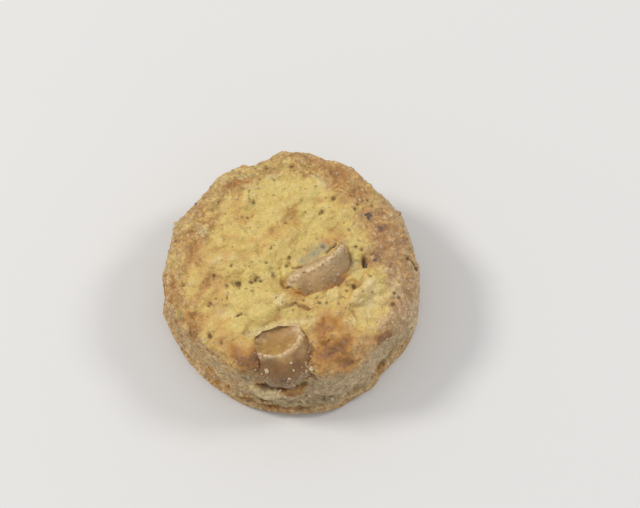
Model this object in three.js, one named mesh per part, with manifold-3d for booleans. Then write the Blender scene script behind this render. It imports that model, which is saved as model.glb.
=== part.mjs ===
// A thick round hazelnut cookie: one baked piece of dough with two kernels sunk in its top.
// Millimetres, +Z up, resting on its flat underside, with the origin at the middle of its base.
// The front of the cookie, where the larger kernel breaks through the edge, faces -Y.
import * as THREE from "three";
import { mergeVertices } from "three/addons/utils/BufferGeometryUtils.js";
import Module from "manifold-3d";

// Driving sizes of the dough
const HEIGHT = 19.2; // middle of the top above the underside
const WALL_RADIUS = 25.0; // side wall, above the groove
const TOP_RADIUS = 20.4; // where the top starts to turn down
const CROWN = 0.9; // how much lower the top is at that radius
const SHOULDER_DROP = 5.4; // height of the rounded shoulder
const FOOT_SPREAD = 0.75; // how far the spread foot stands out of the wall
const FOOT_HEIGHT = 2.1; // height of the foot's widest line
const FOOT_BAND = 1.7; // half height of the foot
const GROOVE_HEIGHT = 4.7; // pinched line between foot and wall
const GROOVE_DEPTH = 0.6;
const GROOVE_BAND = 0.8;
const GROOVE_WANDER = 0.8; // how far the groove strays up and down
const GROOVE_TURNS = 3; // how often it does so
const HEEL_RADIUS = 1.3; // rounded edge of the underside

// Roughness of the baked surface: lump width and height, from the broad lumps down to the crags
const LUMPS = [
  { width: 9.0, height: 0.6 },
  { width: 4.4, height: 0.6 },
  { width: 2.3, height: 0.45 },
];
const CLEFTS = { spacing: 3.4, depth: 0.7, narrowness: 6 }; // winding clefts between the lumps
const PATCH_WIDTH = 6; // the clefts come and go in patches of this width
const RIM_RELIEF_HEIGHT = 2.5; // the roughness dies away below this height, towards the flat base
const LAYER_STEP = 7; // keeps one layer of the noise clear of the next
const SMEAR_ANGLE = 38; // degrees: the dough was smeared this way, so the lumps run along it
const SMEAR_STRETCH = 1.8; // how much longer than wide the lumps on top are

// Swells of the outline: where round the cookie, how wide in degrees, how far out
const OUTLINE_SWELLS = [
  { angle: 90, spread: 9, out: 0.7 },
  { angle: 62, spread: 16, out: 0.3 },
  { angle: 42, spread: 16, out: -0.95 },
  { angle: 10, spread: 10, out: -0.3 },
  { angle: -5, spread: 8, out: 0.4 },
  { angle: -20, spread: 12, out: 0.45 },
  { angle: -44, spread: 11, out: -0.75 },
  { angle: -68, spread: 18, out: 0.45 },
  { angle: -135, spread: 14, out: -0.8 },
  { angle: 140, spread: 17, out: -1.0 },
  { angle: 162, spread: 8, out: 0.3 },
];

// Forms that stand out of the top or lie sunk in it: middle, half length, half width, turn in degrees, rise
const FORMS = {
  blister: { x: 8.9, y: -16.2, long: 3.4, wide: 3.1, turn: 20, rise: 1.5 },
  knob: { x: -9.2, y: -20.9, long: 2.4, wide: 1.9, turn: 20, rise: 0.8 },
  smearedRidge: { x: 14.0, y: -7.4, long: 4.4, wide: 1.9, turn: 45, rise: 1.1 },
  smearedLump: { x: 8.4, y: -8.1, long: 2.2, wide: 1.2, turn: 40, rise: 0.9 },
  furrowByLump: { x: 11.2, y: -7.0, long: 2.6, wide: 0.9, turn: 40, rise: -0.9 },
  kernelTail: { x: -1.0, y: -5.8, long: 2.8, wide: 1.7, turn: 42, rise: -1.5 },
  kernelFoot: { x: 2.2, y: -7.6, long: 2.8, wide: 1.2, turn: 10, rise: -1.1 },
  sideOfKernel: { x: 7.4, y: -5.2, long: 5.0, wide: 1.6, turn: 42, rise: -1.4 },
  kernelEnd: { x: 11.4, y: -0.4, long: 3.2, wide: 1.6, turn: 105, rise: -2.0 },
  slopeByKernel: { x: 3.2, y: 0.5, long: 5.2, wide: 2.0, turn: 40, rise: -1.1 },
  rimFurrow: { x: -15.2, y: 5.2, long: 8.0, wide: 1.7, turn: 43, rise: -0.7 },
  midFurrow: { x: -2.6, y: 6.8, long: 4.2, wide: 1.1, turn: 28, rise: -0.45 },
  leftStroke: { x: -16.3, y: -5.8, long: 3.6, wide: 1.0, turn: 55, rise: -0.6 },
  frontSwell: { x: -11.5, y: -14.8, long: 6.0, wide: 2.4, turn: 20, rise: 0.5 },
  pocket: { x: 15.2, y: -1.2, long: 1.7, wide: 1.3, turn: 5, rise: -1.1 },
  roundPit: { x: -6.7, y: -5.0, long: 1.2, wide: 0.9, turn: 10, rise: -0.8 },
  leftPit: { x: -10.5, y: -5.8, long: 1.3, wide: 0.8, turn: 10, rise: -0.6 },
  edgeSplit: { x: 23.6, y: -1.4, long: 2.4, wide: 0.75, turn: -57, rise: -1.3 },
  shortSplit: { x: 12.3, y: -13.0, long: 1.6, wide: 0.7, turn: -60, rise: -0.8 },
  arcSplit: { x: 0.4, y: -10.8, long: 3.0, wide: 0.7, turn: 6, rise: -0.5 },
};

// Shelf of dough left under the front kernel, on the side wall
const SHELF = { angle: -94, spread: 13, height: 9.0, band: 1.7, out: 0.9 };

// Kernels: half sizes, middle, and the flat left where a piece broke off, with its hollow
const FRONT_KERNEL = {
  half: [6.3, 6.4, 6.1],
  middle: [-1.6, -18.7, 14.5],
  turn: 0,
  faceNormal: [-0.2, 0.42, 0.88],
  faceHeight: 4.0,
  hollowWidth: 4.2,
  hollowDepth: 1.4,
};
const MIDDLE_KERNEL = {
  half: [8.2, 6.4, 5.9],
  middle: [4.6, -0.6, 15.1],
  turn: 42,
  faceNormal: [-0.66, 0.72, 0.2],
  faceHeight: 0.6,
  hollowWidth: 3.4,
  hollowDepth: 1.3,
};
const LIP = { x: -2.0, y: -14.6, turn: 17 }; // edge of the dough that overhangs the front kernel
const EDGE_BLUNTNESS = 0.35; // how rounded the kernels' broken edges are
const KERNEL_RIB_COUNT = 9;
const KERNEL_RIB_HEIGHT = 0.08;
const KERNEL_GAP = 0.3;
const OPENING = 1.5; // how much taller than the kernel the room before the lip is, so it is open

// Sugar grains and flecks of nut skin, fused to the dough
const GRAIN_COUNT = 30;
const GRAIN_RADIUS = 0.45;
const FLECK_THICKNESS = 0.5; // of its width: the flecks of skin are flat
const GRAIN_BAND = { low: 3.0, high: 17.0 }; // heights between which the grains cling
const GRAIN_PROUD = 0.1; // how far a grain's middle stands out of the dough, of its radius
const GRAIN_UNEVENNESS = 0.35;
const GRAIN_CORNERS = 4; // how quickly a grain's outline changes round it
const CLEAR_OF_KERNELS = 1.5;
const GRAIN_TURN = 137.508; // degrees from each grain to the next
const GRAIN_STEP = 0.7549; // share of the band from each grain to the next
const SKIN_FLECKS = [
  { x: 15.0, y: 9.0, radius: 0.95 },
  { x: 16.6, y: 0.0, radius: 0.8 },
  { x: 17.3, y: 6.2, radius: 0.75 },
];

// Mesh fineness
const DOUGH_DETAIL = 19;
const KERNEL_DETAIL = 6;
const PROFILE_STEPS = 120; // samples on each stretch of the profile
const UNDERSIDE_SHARE = 0.08; // the flat underside needs few triangles

const COLOURS = { dough: 0xcbb072, kernel: 0xa8814c };

const radians = THREE.MathUtils.degToRad;
const { smoothstep, lerp, clamp } = THREE.MathUtils;

const wasm = await Module();
wasm.setup();

// Repeatable noise from -1 to 1 on a lattice of whole numbers
function latticeValue(i, j, k) {
  let h = Math.imul(i, 374761393) ^ Math.imul(j, 668265263) ^ Math.imul(k, 1440662683);
  h = Math.imul(h ^ (h >>> 13), 1274126177);
  h ^= h >>> 16;
  return (h >>> 0) / 2147483648 - 1;
}

function noise(x, y, z) {
  const [i, j, k] = [Math.floor(x), Math.floor(y), Math.floor(z)];
  const fade = (t) => t * t * t * (t * (t * 6 - 15) + 10);
  const [u, v, w] = [fade(x - i), fade(y - j), fade(z - k)];
  const edge = (b, c) => lerp(latticeValue(i, j + b, k + c), latticeValue(i + 1, j + b, k + c), u);
  return lerp(lerp(edge(0, 0), edge(1, 0), v), lerp(edge(0, 1), edge(1, 1), v), w);
}

// How strongly a point of the plan lies in an oval form, from 0 to 1
function within(form, x, y) {
  const turn = radians(form.turn);
  const along = ((x - form.x) * Math.cos(turn) + (y - form.y) * Math.sin(turn)) / form.long;
  const across = ((y - form.y) * Math.cos(turn) - (x - form.x) * Math.sin(turn)) / form.wide;
  return Math.exp(-along * along - across * across);
}

// How strongly an angle round the cookie lies in a swell, from 0 to 1
function swellAt(angle, swell) {
  const off = ((angle - swell.angle + 540) % 360) - 180;
  return Math.exp(-((off / swell.spread) ** 2));
}

// The dough's profile from the middle of the top to the middle of the underside, with the share
// of the surface that lies above each of its points
function makeProfile() {
  const points = [];
  const steps = [...Array(PROFILE_STEPS).keys()].map((i) => i / PROFILE_STEPS);
  const wallTop = HEIGHT - CROWN - SHOULDER_DROP;
  steps.forEach((t) => points.push([TOP_RADIUS * t, HEIGHT - CROWN * t * t]));
  steps.forEach((t) => {
    const a = (t * Math.PI) / 2;
    const out = (WALL_RADIUS - TOP_RADIUS) * Math.sin(a);
    points.push([TOP_RADIUS + out, wallTop + SHOULDER_DROP * Math.cos(a)]);
  });
  steps.forEach((t) => {
    const z = lerp(wallTop, HEEL_RADIUS, t);
    const foot = FOOT_SPREAD * Math.exp(-(((z - FOOT_HEIGHT) / FOOT_BAND) ** 2));
    points.push([WALL_RADIUS + foot, z]);
  });
  const heelRadius = points.at(-1)[0] - HEEL_RADIUS;
  steps.forEach((t) => {
    const a = (t * Math.PI) / 2;
    points.push([heelRadius + HEEL_RADIUS * Math.cos(a), HEEL_RADIUS * (1 - Math.sin(a))]);
  });
  steps.forEach((t) => points.push([heelRadius * (1 - t), 0]));
  points.push([0, 0]);

  const shares = [0];
  for (let i = 1; i < points.length; i++) {
    const [r0, z0] = points[i - 1];
    const [r1, z1] = points[i];
    const weight = z0 + z1 > 0 ? 1 : UNDERSIDE_SHARE;
    shares.push(shares[i - 1] + weight * (r0 + r1) * Math.hypot(r1 - r0, z1 - z0));
  }
  const whole = shares.at(-1);
  return points.map(([r, z], i) => ({ r, z, share: shares[i] / whole }));
}

const profile = makeProfile();

function profileAt(share) {
  let i = profile.findIndex((p) => p.share >= share);
  i = clamp(i, 1, profile.length - 1);
  const [a, b] = [profile[i - 1], profile[i]];
  const t = clamp((share - a.share) / (b.share - a.share), 0, 1);
  const length = Math.hypot(b.r - a.r, b.z - a.z);
  return {
    r: lerp(a.r, b.r, t),
    z: lerp(a.z, b.z, t),
    out: (a.z - b.z) / length,
    up: (b.r - a.r) / length,
  };
}

// How far the baked surface stands out of the smooth form there
function relief(x, y, z, angle, up) {
  const onTop = smoothstep(up, 0.2, 0.75);
  const smear = radians(SMEAR_ANGLE);
  const along = (x * Math.cos(smear) + y * Math.sin(smear)) / lerp(1, SMEAR_STRETCH, onTop);
  const across = y * Math.cos(smear) - x * Math.sin(smear);
  let height = 0;
  LUMPS.forEach((lump, i) => {
    height += lump.height * noise(along / lump.width + LAYER_STEP * i, across / lump.width, z / lump.width);
  });
  const scaled = [along, across, z].map((distance) => distance / CLEFTS.spacing);
  const cleft = Math.abs(noise(scaled[0], scaled[1], scaled[2] + 4 * LAYER_STEP));
  const patchNoise = noise(x / PATCH_WIDTH, y / PATCH_WIDTH, z / PATCH_WIDTH + 8 * LAYER_STEP);
  const patch = smoothstep(patchNoise, -0.25, 0.35);
  height -= CLEFTS.depth * patch * Math.max(0, 1 - CLEFTS.narrowness * cleft);
  Object.values(FORMS).forEach((form) => {
    height += form.rise * within(form, x, y) * smoothstep(up, -0.2, 0.5);
  });
  const [turnX, turnY] = [GROOVE_TURNS * Math.cos(radians(angle)), GROOVE_TURNS * Math.sin(radians(angle))];
  const wander = GROOVE_WANDER * noise(turnX, turnY, LAYER_STEP);
  const fromGroove = (z - GROOVE_HEIGHT - wander) / GROOVE_BAND;
  height -= GROOVE_DEPTH * Math.exp(-fromGroove * fromGroove) * (1 - onTop);
  const fromShelf = (z - SHELF.height) / SHELF.band;
  height += SHELF.out * swellAt(angle, SHELF) * Math.exp(-fromShelf * fromShelf) * (1 - onTop);
  return height * smoothstep(z, 0, RIM_RELIEF_HEIGHT);
}

// The point of the dough's surface at a share of the area and an angle in degrees, with its normal
function surfaceAt(share, angle) {
  const p = profileAt(share);
  const [c, s] = [Math.cos(radians(angle)), Math.sin(radians(angle))];
  const swell = OUTLINE_SWELLS.reduce((sum, one) => sum + one.out * swellAt(angle, one), 0);
  const r = p.r * (1 + swell / WALL_RADIUS);
  const height = relief(r * c, r * s, p.z, angle, p.up);
  const normal = new THREE.Vector3(p.out * c, p.out * s, p.up);
  const point = new THREE.Vector3(r * c, r * s, p.z).addScaledVector(normal, height);
  point.z = Math.max(point.z, 0);
  return { point, normal };
}

// A sphere of even triangles, as positions only
function evenSphere(detail) {
  const sphere = new THREE.IcosahedronGeometry(1, detail);
  sphere.deleteAttribute("normal");
  sphere.deleteAttribute("uv");
  return mergeVertices(sphere, 1e-5);
}

// Moves every vertex of a unit sphere to where a function of its direction says
function shapeSphere(detail, place) {
  const geometry = evenSphere(detail);
  const position = geometry.getAttribute("position");
  const direction = new THREE.Vector3();
  for (let i = 0; i < position.count; i++) {
    direction.fromBufferAttribute(position, i).normalize();
    const p = place(direction);
    position.setXYZ(i, p.x, p.y, p.z);
  }
  return geometry;
}

function solidFrom(geometry) {
  const mesh = new wasm.Mesh({
    numProp: 3,
    vertProperties: geometry.getAttribute("position").array,
    triVerts: new Uint32Array(geometry.index.array),
  });
  return new wasm.Manifold(mesh);
}

function geometryFrom(solid) {
  const mesh = solid.getMesh();
  const geometry = new THREE.BufferGeometry();
  geometry.setAttribute("position", new THREE.BufferAttribute(mesh.vertProperties, 3));
  geometry.setIndex(new THREE.BufferAttribute(mesh.triVerts, 1));
  geometry.computeVertexNormals();
  return geometry;
}

function doughGeometry() {
  return shapeSphere(DOUGH_DETAIL, (direction) => {
    const share = (1 - direction.z) / 2;
    const angle = THREE.MathUtils.radToDeg(Math.atan2(direction.y, direction.x));
    return surfaceAt(share, angle).point;
  });
}

// The surface of a kernel, an oval body with one broken face and a hollow in it. The room for it
// in the dough is larger all round by a gap and has no hollow. It may leave the broken face off
// and be open upwards.
function kernelGeometry(kernel, { gap = 0, broken = true, hollow = true, open = 0 } = {}) {
  const face = new THREE.Vector3(...kernel.faceNormal).normalize();
  const middle = new THREE.Vector3(...kernel.middle);
  const turn = radians(kernel.turn);
  const [a, b, c] = kernel.half.map((half) => half + gap);
  return shapeSphere(KERNEL_DETAIL, (direction) => {
    const along = direction.x * Math.cos(turn) + direction.y * Math.sin(turn);
    const across = direction.y * Math.cos(turn) - direction.x * Math.sin(turn);
    const ribs = 1 + (KERNEL_RIB_HEIGHT / a) * Math.cos(KERNEL_RIB_COUNT * Math.atan2(direction.z, across));
    let reach = ribs / Math.hypot(along / a, across / b, direction.z / c);
    const towards = direction.dot(face);
    if (broken && towards > 0) {
      const faceReach = (kernel.faceHeight + gap) / towards;
      reach = softMinimum(reach, faceReach, EDGE_BLUNTNESS);
    }
    const point = direction.clone().multiplyScalar(reach);
    if (broken && hollow && towards > 0) {
      const level = point.dot(face);
      const offAxis = point.clone().addScaledVector(face, -level).length() / kernel.hollowWidth;
      const sunk = kernel.hollowDepth * Math.exp(-(offAxis ** 4)) * smoothstep(towards, 0, 0.4);
      point.addScaledVector(face, -sunk);
    }
    if (point.z > 0) point.z *= 1 + open;
    return point.add(middle);
  });
}

function softMinimum(a, b, bluntness) {
  const h = clamp(0.5 + (0.5 * (b - a)) / bluntness, 0, 1);
  return lerp(b, a, h) - bluntness * h * (1 - h);
}

// The part of the front kernel's place that lies before the overhanging lip of dough
function windowBeforeLip() {
  const size = 4 * WALL_RADIUS;
  const block = new THREE.BoxGeometry(size, size, size).translate(0, -size / 2, 0);
  block.rotateZ(radians(LIP.turn)).translate(LIP.x, LIP.y, 0);
  block.deleteAttribute("normal");
  block.deleteAttribute("uv");
  const place = solidFrom(kernelGeometry(FRONT_KERNEL, { gap: KERNEL_GAP, broken: false, open: OPENING }));
  return place.intersect(solidFrom(mergeVertices(block)));
}

// An uneven crystal that stands half out of the dough, or a flat fleck that lies on it
function grainSolid(point, normal, radius, seed, thickness = 1) {
  const geometry = shapeSphere(0, (direction) => {
    const corner = direction.clone().multiplyScalar(GRAIN_CORNERS);
    const size = radius * (1 + GRAIN_UNEVENNESS * noise(corner.x + seed, corner.y, corner.z));
    corner.copy(direction).multiplyScalar(size);
    corner.addScaledVector(normal, (thickness - 1) * corner.dot(normal));
    return corner.add(point).addScaledVector(normal, GRAIN_PROUD * radius);
  });
  return solidFrom(geometry);
}

function nearKernel(point) {
  return [FRONT_KERNEL, MIDDLE_KERNEL].some((kernel) => {
    const away = point.distanceTo(new THREE.Vector3(...kernel.middle));
    return away < Math.max(...kernel.half) + CLEAR_OF_KERNELS;
  });
}

function sugarGrains() {
  const grains = [];
  for (let i = 0; i < GRAIN_COUNT; i++) {
    const height = lerp(GRAIN_BAND.low, GRAIN_BAND.high, (i * GRAIN_STEP) % 1);
    const share = profile.find((p) => p.r > TOP_RADIUS && p.z <= height).share;
    const { point, normal } = surfaceAt(share, i * GRAIN_TURN);
    const radius = GRAIN_RADIUS * (1 + GRAIN_UNEVENNESS * noise(i * GRAIN_STEP, 0.5, 0.5));
    if (!nearKernel(point)) grains.push(grainSolid(point, normal, radius, i));
  }
  return grains;
}

function skinFlecks() {
  return SKIN_FLECKS.map((fleck, i) => {
    const r = Math.hypot(fleck.x, fleck.y);
    const share = profile.find((p) => p.r >= r).share;
    const angle = THREE.MathUtils.radToDeg(Math.atan2(fleck.y, fleck.x));
    const { point, normal } = surfaceAt(share, angle);
    return grainSolid(point, normal, fleck.radius, GRAIN_COUNT + i, FLECK_THICKNESS);
  });
}

function doughSolid() {
  let solid = solidFrom(doughGeometry());
  [...sugarGrains(), ...skinFlecks()].forEach((piece) => {
    solid = solid.add(piece);
  });
  solid = solid.subtract(windowBeforeLip());
  [FRONT_KERNEL, MIDDLE_KERNEL].forEach((kernel) => {
    solid = solid.subtract(solidFrom(kernelGeometry(kernel, { gap: KERNEL_GAP, hollow: false })));
  });
  const pieces = solid.decompose();
  return pieces.sort((a, b) => b.volume() - a.volume())[0];
}

function piece(name, geometry, color, roughness) {
  const mesh = new THREE.Mesh(geometry, new THREE.MeshStandardMaterial({ color, roughness, metalness: 0 }));
  mesh.name = name;
  return mesh;
}

const cookie = new THREE.Group();
cookie.add(piece("cookie_dough", geometryFrom(doughSolid()), COLOURS.dough, 0.85));
cookie.add(piece("hazelnut_front", kernelGeometry(FRONT_KERNEL), COLOURS.kernel, 0.5));
cookie.add(piece("hazelnut_middle", kernelGeometry(MIDDLE_KERNEL), COLOURS.kernel, 0.5));

const bounds = new THREE.Box3().setFromObject(cookie);
const centre = bounds.getCenter(new THREE.Vector3());
cookie.position.set(-centre.x, -centre.y, -bounds.min.z);

export default cookie;
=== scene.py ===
# A thick round hazelnut cookie on a pale floor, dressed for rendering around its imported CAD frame.
import math

import bmesh
import bpy
import numpy as np
from bpy.props import FloatProperty, FloatVectorProperty, IntProperty, PointerProperty
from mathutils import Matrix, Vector
from mathutils.bvhtree import BVHTree


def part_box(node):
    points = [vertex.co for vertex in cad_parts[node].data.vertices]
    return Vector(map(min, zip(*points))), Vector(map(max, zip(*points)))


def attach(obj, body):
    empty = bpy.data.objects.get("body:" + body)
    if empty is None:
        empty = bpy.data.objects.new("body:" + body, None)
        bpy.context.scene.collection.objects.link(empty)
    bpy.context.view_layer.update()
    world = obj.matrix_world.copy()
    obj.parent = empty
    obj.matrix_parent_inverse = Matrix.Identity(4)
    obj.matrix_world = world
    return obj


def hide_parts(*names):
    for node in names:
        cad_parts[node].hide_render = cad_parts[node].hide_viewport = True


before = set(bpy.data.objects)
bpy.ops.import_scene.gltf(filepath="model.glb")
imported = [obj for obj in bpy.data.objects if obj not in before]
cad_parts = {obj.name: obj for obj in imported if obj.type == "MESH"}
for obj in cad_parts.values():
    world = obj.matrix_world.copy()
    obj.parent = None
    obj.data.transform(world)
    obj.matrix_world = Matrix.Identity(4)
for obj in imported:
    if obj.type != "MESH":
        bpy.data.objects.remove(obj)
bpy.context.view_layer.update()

bl_info = {
    "name": "Hazelnut Cookie",
    "version": (1, 0, 0),
    "blender": (4, 5, 0),
    "location": "3D View > Sidebar > Cookie",
    "description": "Bakes a craggy hazelnut cookie with its kernels, crumbs, sugar and flecks of nut skin",
    "category": "Object",
}

MM = 0.001

# The kernels as the CAD part has them, in millimetres: half sizes, middle, turn in degrees, and the
# broken face with its hollow
FRONT_KERNEL = {
    "node": "hazelnut_front",
    "half": (6.3, 6.4, 6.1),
    "middle": (-1.6, -18.7, 14.5),
    "turn": 0.0,
    "face_normal": (-0.2, 0.42, 0.88),
    "face_height": 4.0,
    "hollow_width": 4.2,
    "hollow_depth": 1.4,
}
MIDDLE_KERNEL = {
    "node": "hazelnut_middle",
    "half": (8.2, 6.4, 5.9),
    "middle": (4.6, -0.6, 15.1),
    "turn": 42.0,
    "face_normal": (-0.66, 0.72, 0.2),
    "face_height": 0.6,
    "hollow_width": 3.4,
    "hollow_depth": 1.3,
}
EDGE_BLUNTNESS = 0.35
RIB_COUNT = 9
RIB_HEIGHT = 0.08
KERNEL_SUBDIVISIONS = 7

SMEAR_ANGLE = 38.0  # degrees: the way the dough was smeared
LIP = (-2.0, -14.6, 17.0)  # edge of dough over the front kernel: a point in plan and the turn in degrees

# The photograph's view: its size and focal length in pixels, its tilt, and what it is aimed at in
# millimetres, before the CAD part was centred
PHOTO_SIZE = (640, 508)
FOCAL_PIXELS = 1941.7
CAMERA_ELEVATION = math.radians(64.0)
CAMERA_DISTANCE = 400.0 * MM
CAMERA_AIM = (5.6, 9.85, 0.0)
CAMERA_SENSOR = 36.0
CAMERA_NEAR = 10.0 * MM

# Pits and pores: place in the photograph in pixels, radius and depth in millimetres; each is also painted
# dark, as shade in the hole
PITS = [
    (256.5, 279.5, 0.66, 0.9), (259, 277.5, 0.35, 0.6), (261, 281.5, 0.45, 0.7), (251.5, 282, 0.35, 0.5),
    (238, 284, 0.45, 0.7), (233.5, 283.5, 0.3, 0.5), (227, 286.5, 0.4, 0.5), (273, 274, 0.5, 0.7),
    (271, 270, 0.3, 0.4), (289, 259, 0.45, 0.8), (289, 264, 0.4, 0.8), (267, 262.5, 0.3, 0.4),
    (270.6, 247.5, 0.28, 0.4), (286, 222.5, 0.4, 0.6), (282.5, 225, 0.3, 0.4), (279, 226.5, 0.25, 0.3),
    (252, 216, 0.4, 0.6), (247, 217.5, 0.3, 0.5), (243, 216.5, 0.28, 0.4), (272, 230, 0.35, 0.35),
    (265, 167.5, 0.55, 0.8), (292, 167, 0.35, 0.4), (260, 179, 0.3, 0.5), (273.7, 180.6, 0.4, 0.5),
    (249.4, 191.5, 0.3, 0.5), (249, 196, 0.3, 0.5), (253, 202.5, 0.3, 0.4), (213, 211, 0.3, 0.4),
    (231.5, 266, 0.28, 0.4), (213.7, 275.6, 0.25, 0.3), (227, 297.7, 0.28, 0.4), (215, 298.7, 0.3, 0.4),
    (211, 304, 0.45, 0.5), (208.5, 306.5, 0.3, 0.4), (183, 285, 0.35, 0.4), (252, 291, 0.28, 0.4),
    (267.5, 292, 0.3, 0.4), (277.5, 293, 0.25, 0.3), (322.5, 210.6, 0.4, 0.5), (319.4, 213, 0.3, 0.4),
    (333, 197, 0.3, 0.4), (306, 189, 0.25, 0.3), (349, 230, 0.35, 0.4), (355, 247.5, 0.4, 0.5),
    (361, 250, 0.4, 0.5), (365, 263, 0.6, 0.9), (367, 267, 0.35, 0.6), (363, 258.5, 0.3, 0.5),
    (354, 286, 0.5, 0.7), (349.5, 285, 0.4, 0.6), (346, 291, 0.35, 0.5), (341, 297, 0.3, 0.4),
    (338, 303, 0.3, 0.4), (327, 303, 0.3, 0.35), (320, 303, 0.3, 0.35), (354, 207.5, 0.35, 0.6),
    (357, 204, 0.3, 0.5), (367.5, 200.6, 0.35, 0.6), (372, 206, 0.28, 0.4), (375.6, 211, 0.3, 0.4),
    (371, 275.6, 0.28, 0.3), (391, 265.6, 0.3, 0.4), (394, 292.5, 0.35, 0.5), (399, 297.5, 0.35, 0.5),
    (392.5, 304, 0.35, 0.5), (208, 335.5, 0.4, 0.6), (222, 343.5, 0.35, 0.5), (338, 349, 0.3, 0.4),
    (329, 340, 0.3, 0.3), (322, 247, 0.35, 0.5), (331, 352, 0.3, 0.4), (325, 345, 0.28, 0.3),
    (343.5, 338, 0.28, 0.3), (336, 284.5, 0.4, 0.5), (342, 279, 0.35, 0.5), (331, 288.5, 0.3, 0.4),
    (287, 265.5, 0.35, 0.5), (347, 253, 0.3, 0.4), (360, 344, 0.25, 0.3), (337, 350.5, 0.25, 0.3),
    (303, 300, 0.3, 0.35), (316, 297, 0.3, 0.35),
]

# Slits, cracks and creases: their line in the photograph in pixels, half width and depth in
# millimetres, how dark they are painted, as shade in them, and how browned they are
LINES = [
    (((246, 227), (245.5, 233)), 0.22, 0.5, 0.7, 0.1),
    (((236, 316.5), (241.5, 313)), 0.2, 0.5, 0.8, 0.1),
    (((284, 307), (289, 305.5), (296, 303.6), (304, 307), (309.5, 308)), 0.24, 0.45, 0.6, 0.3),
    (((408, 258), (412, 263), (417, 270)), 0.3, 1.0, 1.0, 0.2),
    (((353, 313), (356, 317), (357, 321)), 0.25, 0.5, 0.7, 0.3),
    (((188, 268), (190, 258), (196, 247), (203, 240)), 0.7, 0.3, 0.1, 0.22),
    (((208, 282), (202, 292), (196, 303)), 0.5, 0.25, 0.1, 0.25),
    (((228, 187), (236, 182), (250, 180)), 0.5, 0.2, 0.1, 0.5),
    (((412, 328), (400, 341), (387, 358), (370, 380), (357, 390)), 0.5, 0.4, 0.3, 0.1),
    (((357, 390), (350, 402)), 0.4, 0.35, 0.3, 0.15),
    (((350, 403), (310, 408), (270, 406), (240, 397)), 0.4, 0.5, 0.55, 0.25),
    (((248, 391), (262, 399.5), (285, 399), (306, 396.5), (318, 397)), 0.35, 0.4, 0.5, 0.2),
    (((196, 330), (210, 352), (228, 366)), 0.6, 0.25, 0.1, 0.05),
    (((315, 396), (325, 399)), 0.6, 0.5, 0.6, 0.2),
    (((372, 262), (360, 283)), 0.4, 0.3, 0.1, 0.25),
    (((256, 384), (266, 387), (281, 388.5), (296, 388), (305, 385)), 0.42, 0.9, 1.0, 0.3),
    (((292, 267), (300, 266), (311, 264)), 0.26, 0.6, 1.0, 0.2),
    (((306, 377), (314, 375)), 0.25, 0.5, 0.7, 0.1),
    (((322, 257.5), (328, 251.5), (334.5, 244.5)), 0.26, 0.6, 1.0, 0.15),
    (((284, 283), (287, 290), (297, 293), (307, 294.5)), 0.5, 0.15, 0.1, 0.4),
    (((324, 291), (332, 285), (341, 278), (348, 271.5)), 0.7, 0.3, 0.25, 0.4),
    (((315, 318), (313, 327), (317, 336)), 0.4, 0.3, 0.2, 0.2),
    (((326, 347), (335, 350), (345, 352)), 0.4, 0.3, 0.3, 0.35),
    (((324, 321), (319.5, 331), (323, 343), (331, 347), (341, 345), (346, 337)),
     0.9, 0.15, 0.0, 0.42),
]

# Lumps and, with a fall instead of a rise, hollows: place in the photograph in pixels, reach and
# rise in millimetres
LUMPS = [
    (332, 291, 1.6, 0.5), (352, 300, 1.5, 0.4), (360, 294, 1.5, 0.55), (368, 287, 1.4, 0.5),
    (375, 281, 1.2, 0.3), (334, 332, 2.8, 0.55), (345, 343, 1.3, 0.3), (243, 357, 2.0, 0.55),
    (266, 393, 2.2, 0.9), (336, 328, 0.9, 0.3), (329, 335, 0.9, 0.3), (339, 337, 0.9, 0.3),
    (250.5, 351, 1.2, 0.6), (252, 361, 1.3, 0.6), (313, 343, 1.2, 0.5), (313, 356, 1.3, 0.5),
    (309, 367, 1.2, 0.4), (280, 394, 1.2, 0.35), (293, 393, 1.5, 0.5), (262, 403, 1.4, 0.25),
    (285, 404, 1.6, 0.3), (303, 402, 1.4, 0.25), (201, 229, 1.1, 0.3), (274, 177, 1.0, 0.3),
    (240, 178, 0.9, 0.25), (313, 329, 1.0, 0.4), (281, 155, 2.0, 0.55), (304, 155, 2.2, 0.5),
    (293, 157, 1.4, 0.2), (397, 285, 1.5, 0.3), (388, 298, 1.6, 0.35), (380, 310, 1.5, 0.3),
    (396, 316, 1.4, 0.3), (364, 320, 1.6, 0.35), (360, 337, 1.4, 0.3), (364, 263, 1.4, -0.45),
    (354, 285, 1.5, -0.4), (235, 209, 1.6, -0.15), (320, 398, 1.0, -0.5), (300, 384, 1.2, -0.35),
    (270, 385, 1.4, -0.3), (289, 287, 1.0, -0.7), (297, 291, 1.1, -0.6), (306, 293, 1.0, -0.35),
    (349, 262, 1.2, -0.5), (347, 270, 1.0, -0.4), (340, 301, 1.2, -0.25), (347, 309, 1.2, -0.2),
    (246, 222, 1.4, -0.2),
]

# Inner edge of the browned rim, from the right end of the back on clockwise: place in the photograph
# in pixels, how much it is toasted and how floury it is
RIM = [
    (298, 177, 0.23, 0.1), (330, 187, 0.29, 0.1), (348, 203, 0.33, 0.15), (364, 229, 0.38, 0.25),
    (373, 261, 0.47, 0.4), (386, 286, 0.36, 0.55), (387, 306, 0.32, 0.55), (378, 326, 0.30, 0.4),
    (352, 342, 0.26, 0.2), (318, 352, 0.35, 0.1), (258, 348, 0.26, 0.0), (225, 350, 0.2, 0.0),
    (210, 344, 0.2, 0.0), (198, 320, 0.2, 0.0), (188, 291, 0.19, 0.05), (191, 259, 0.18, 0.1),
    (209, 234, 0.2, 0.1), (230, 202, 0.22, 0.1), (262, 180, 0.23, 0.1),
]
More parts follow.
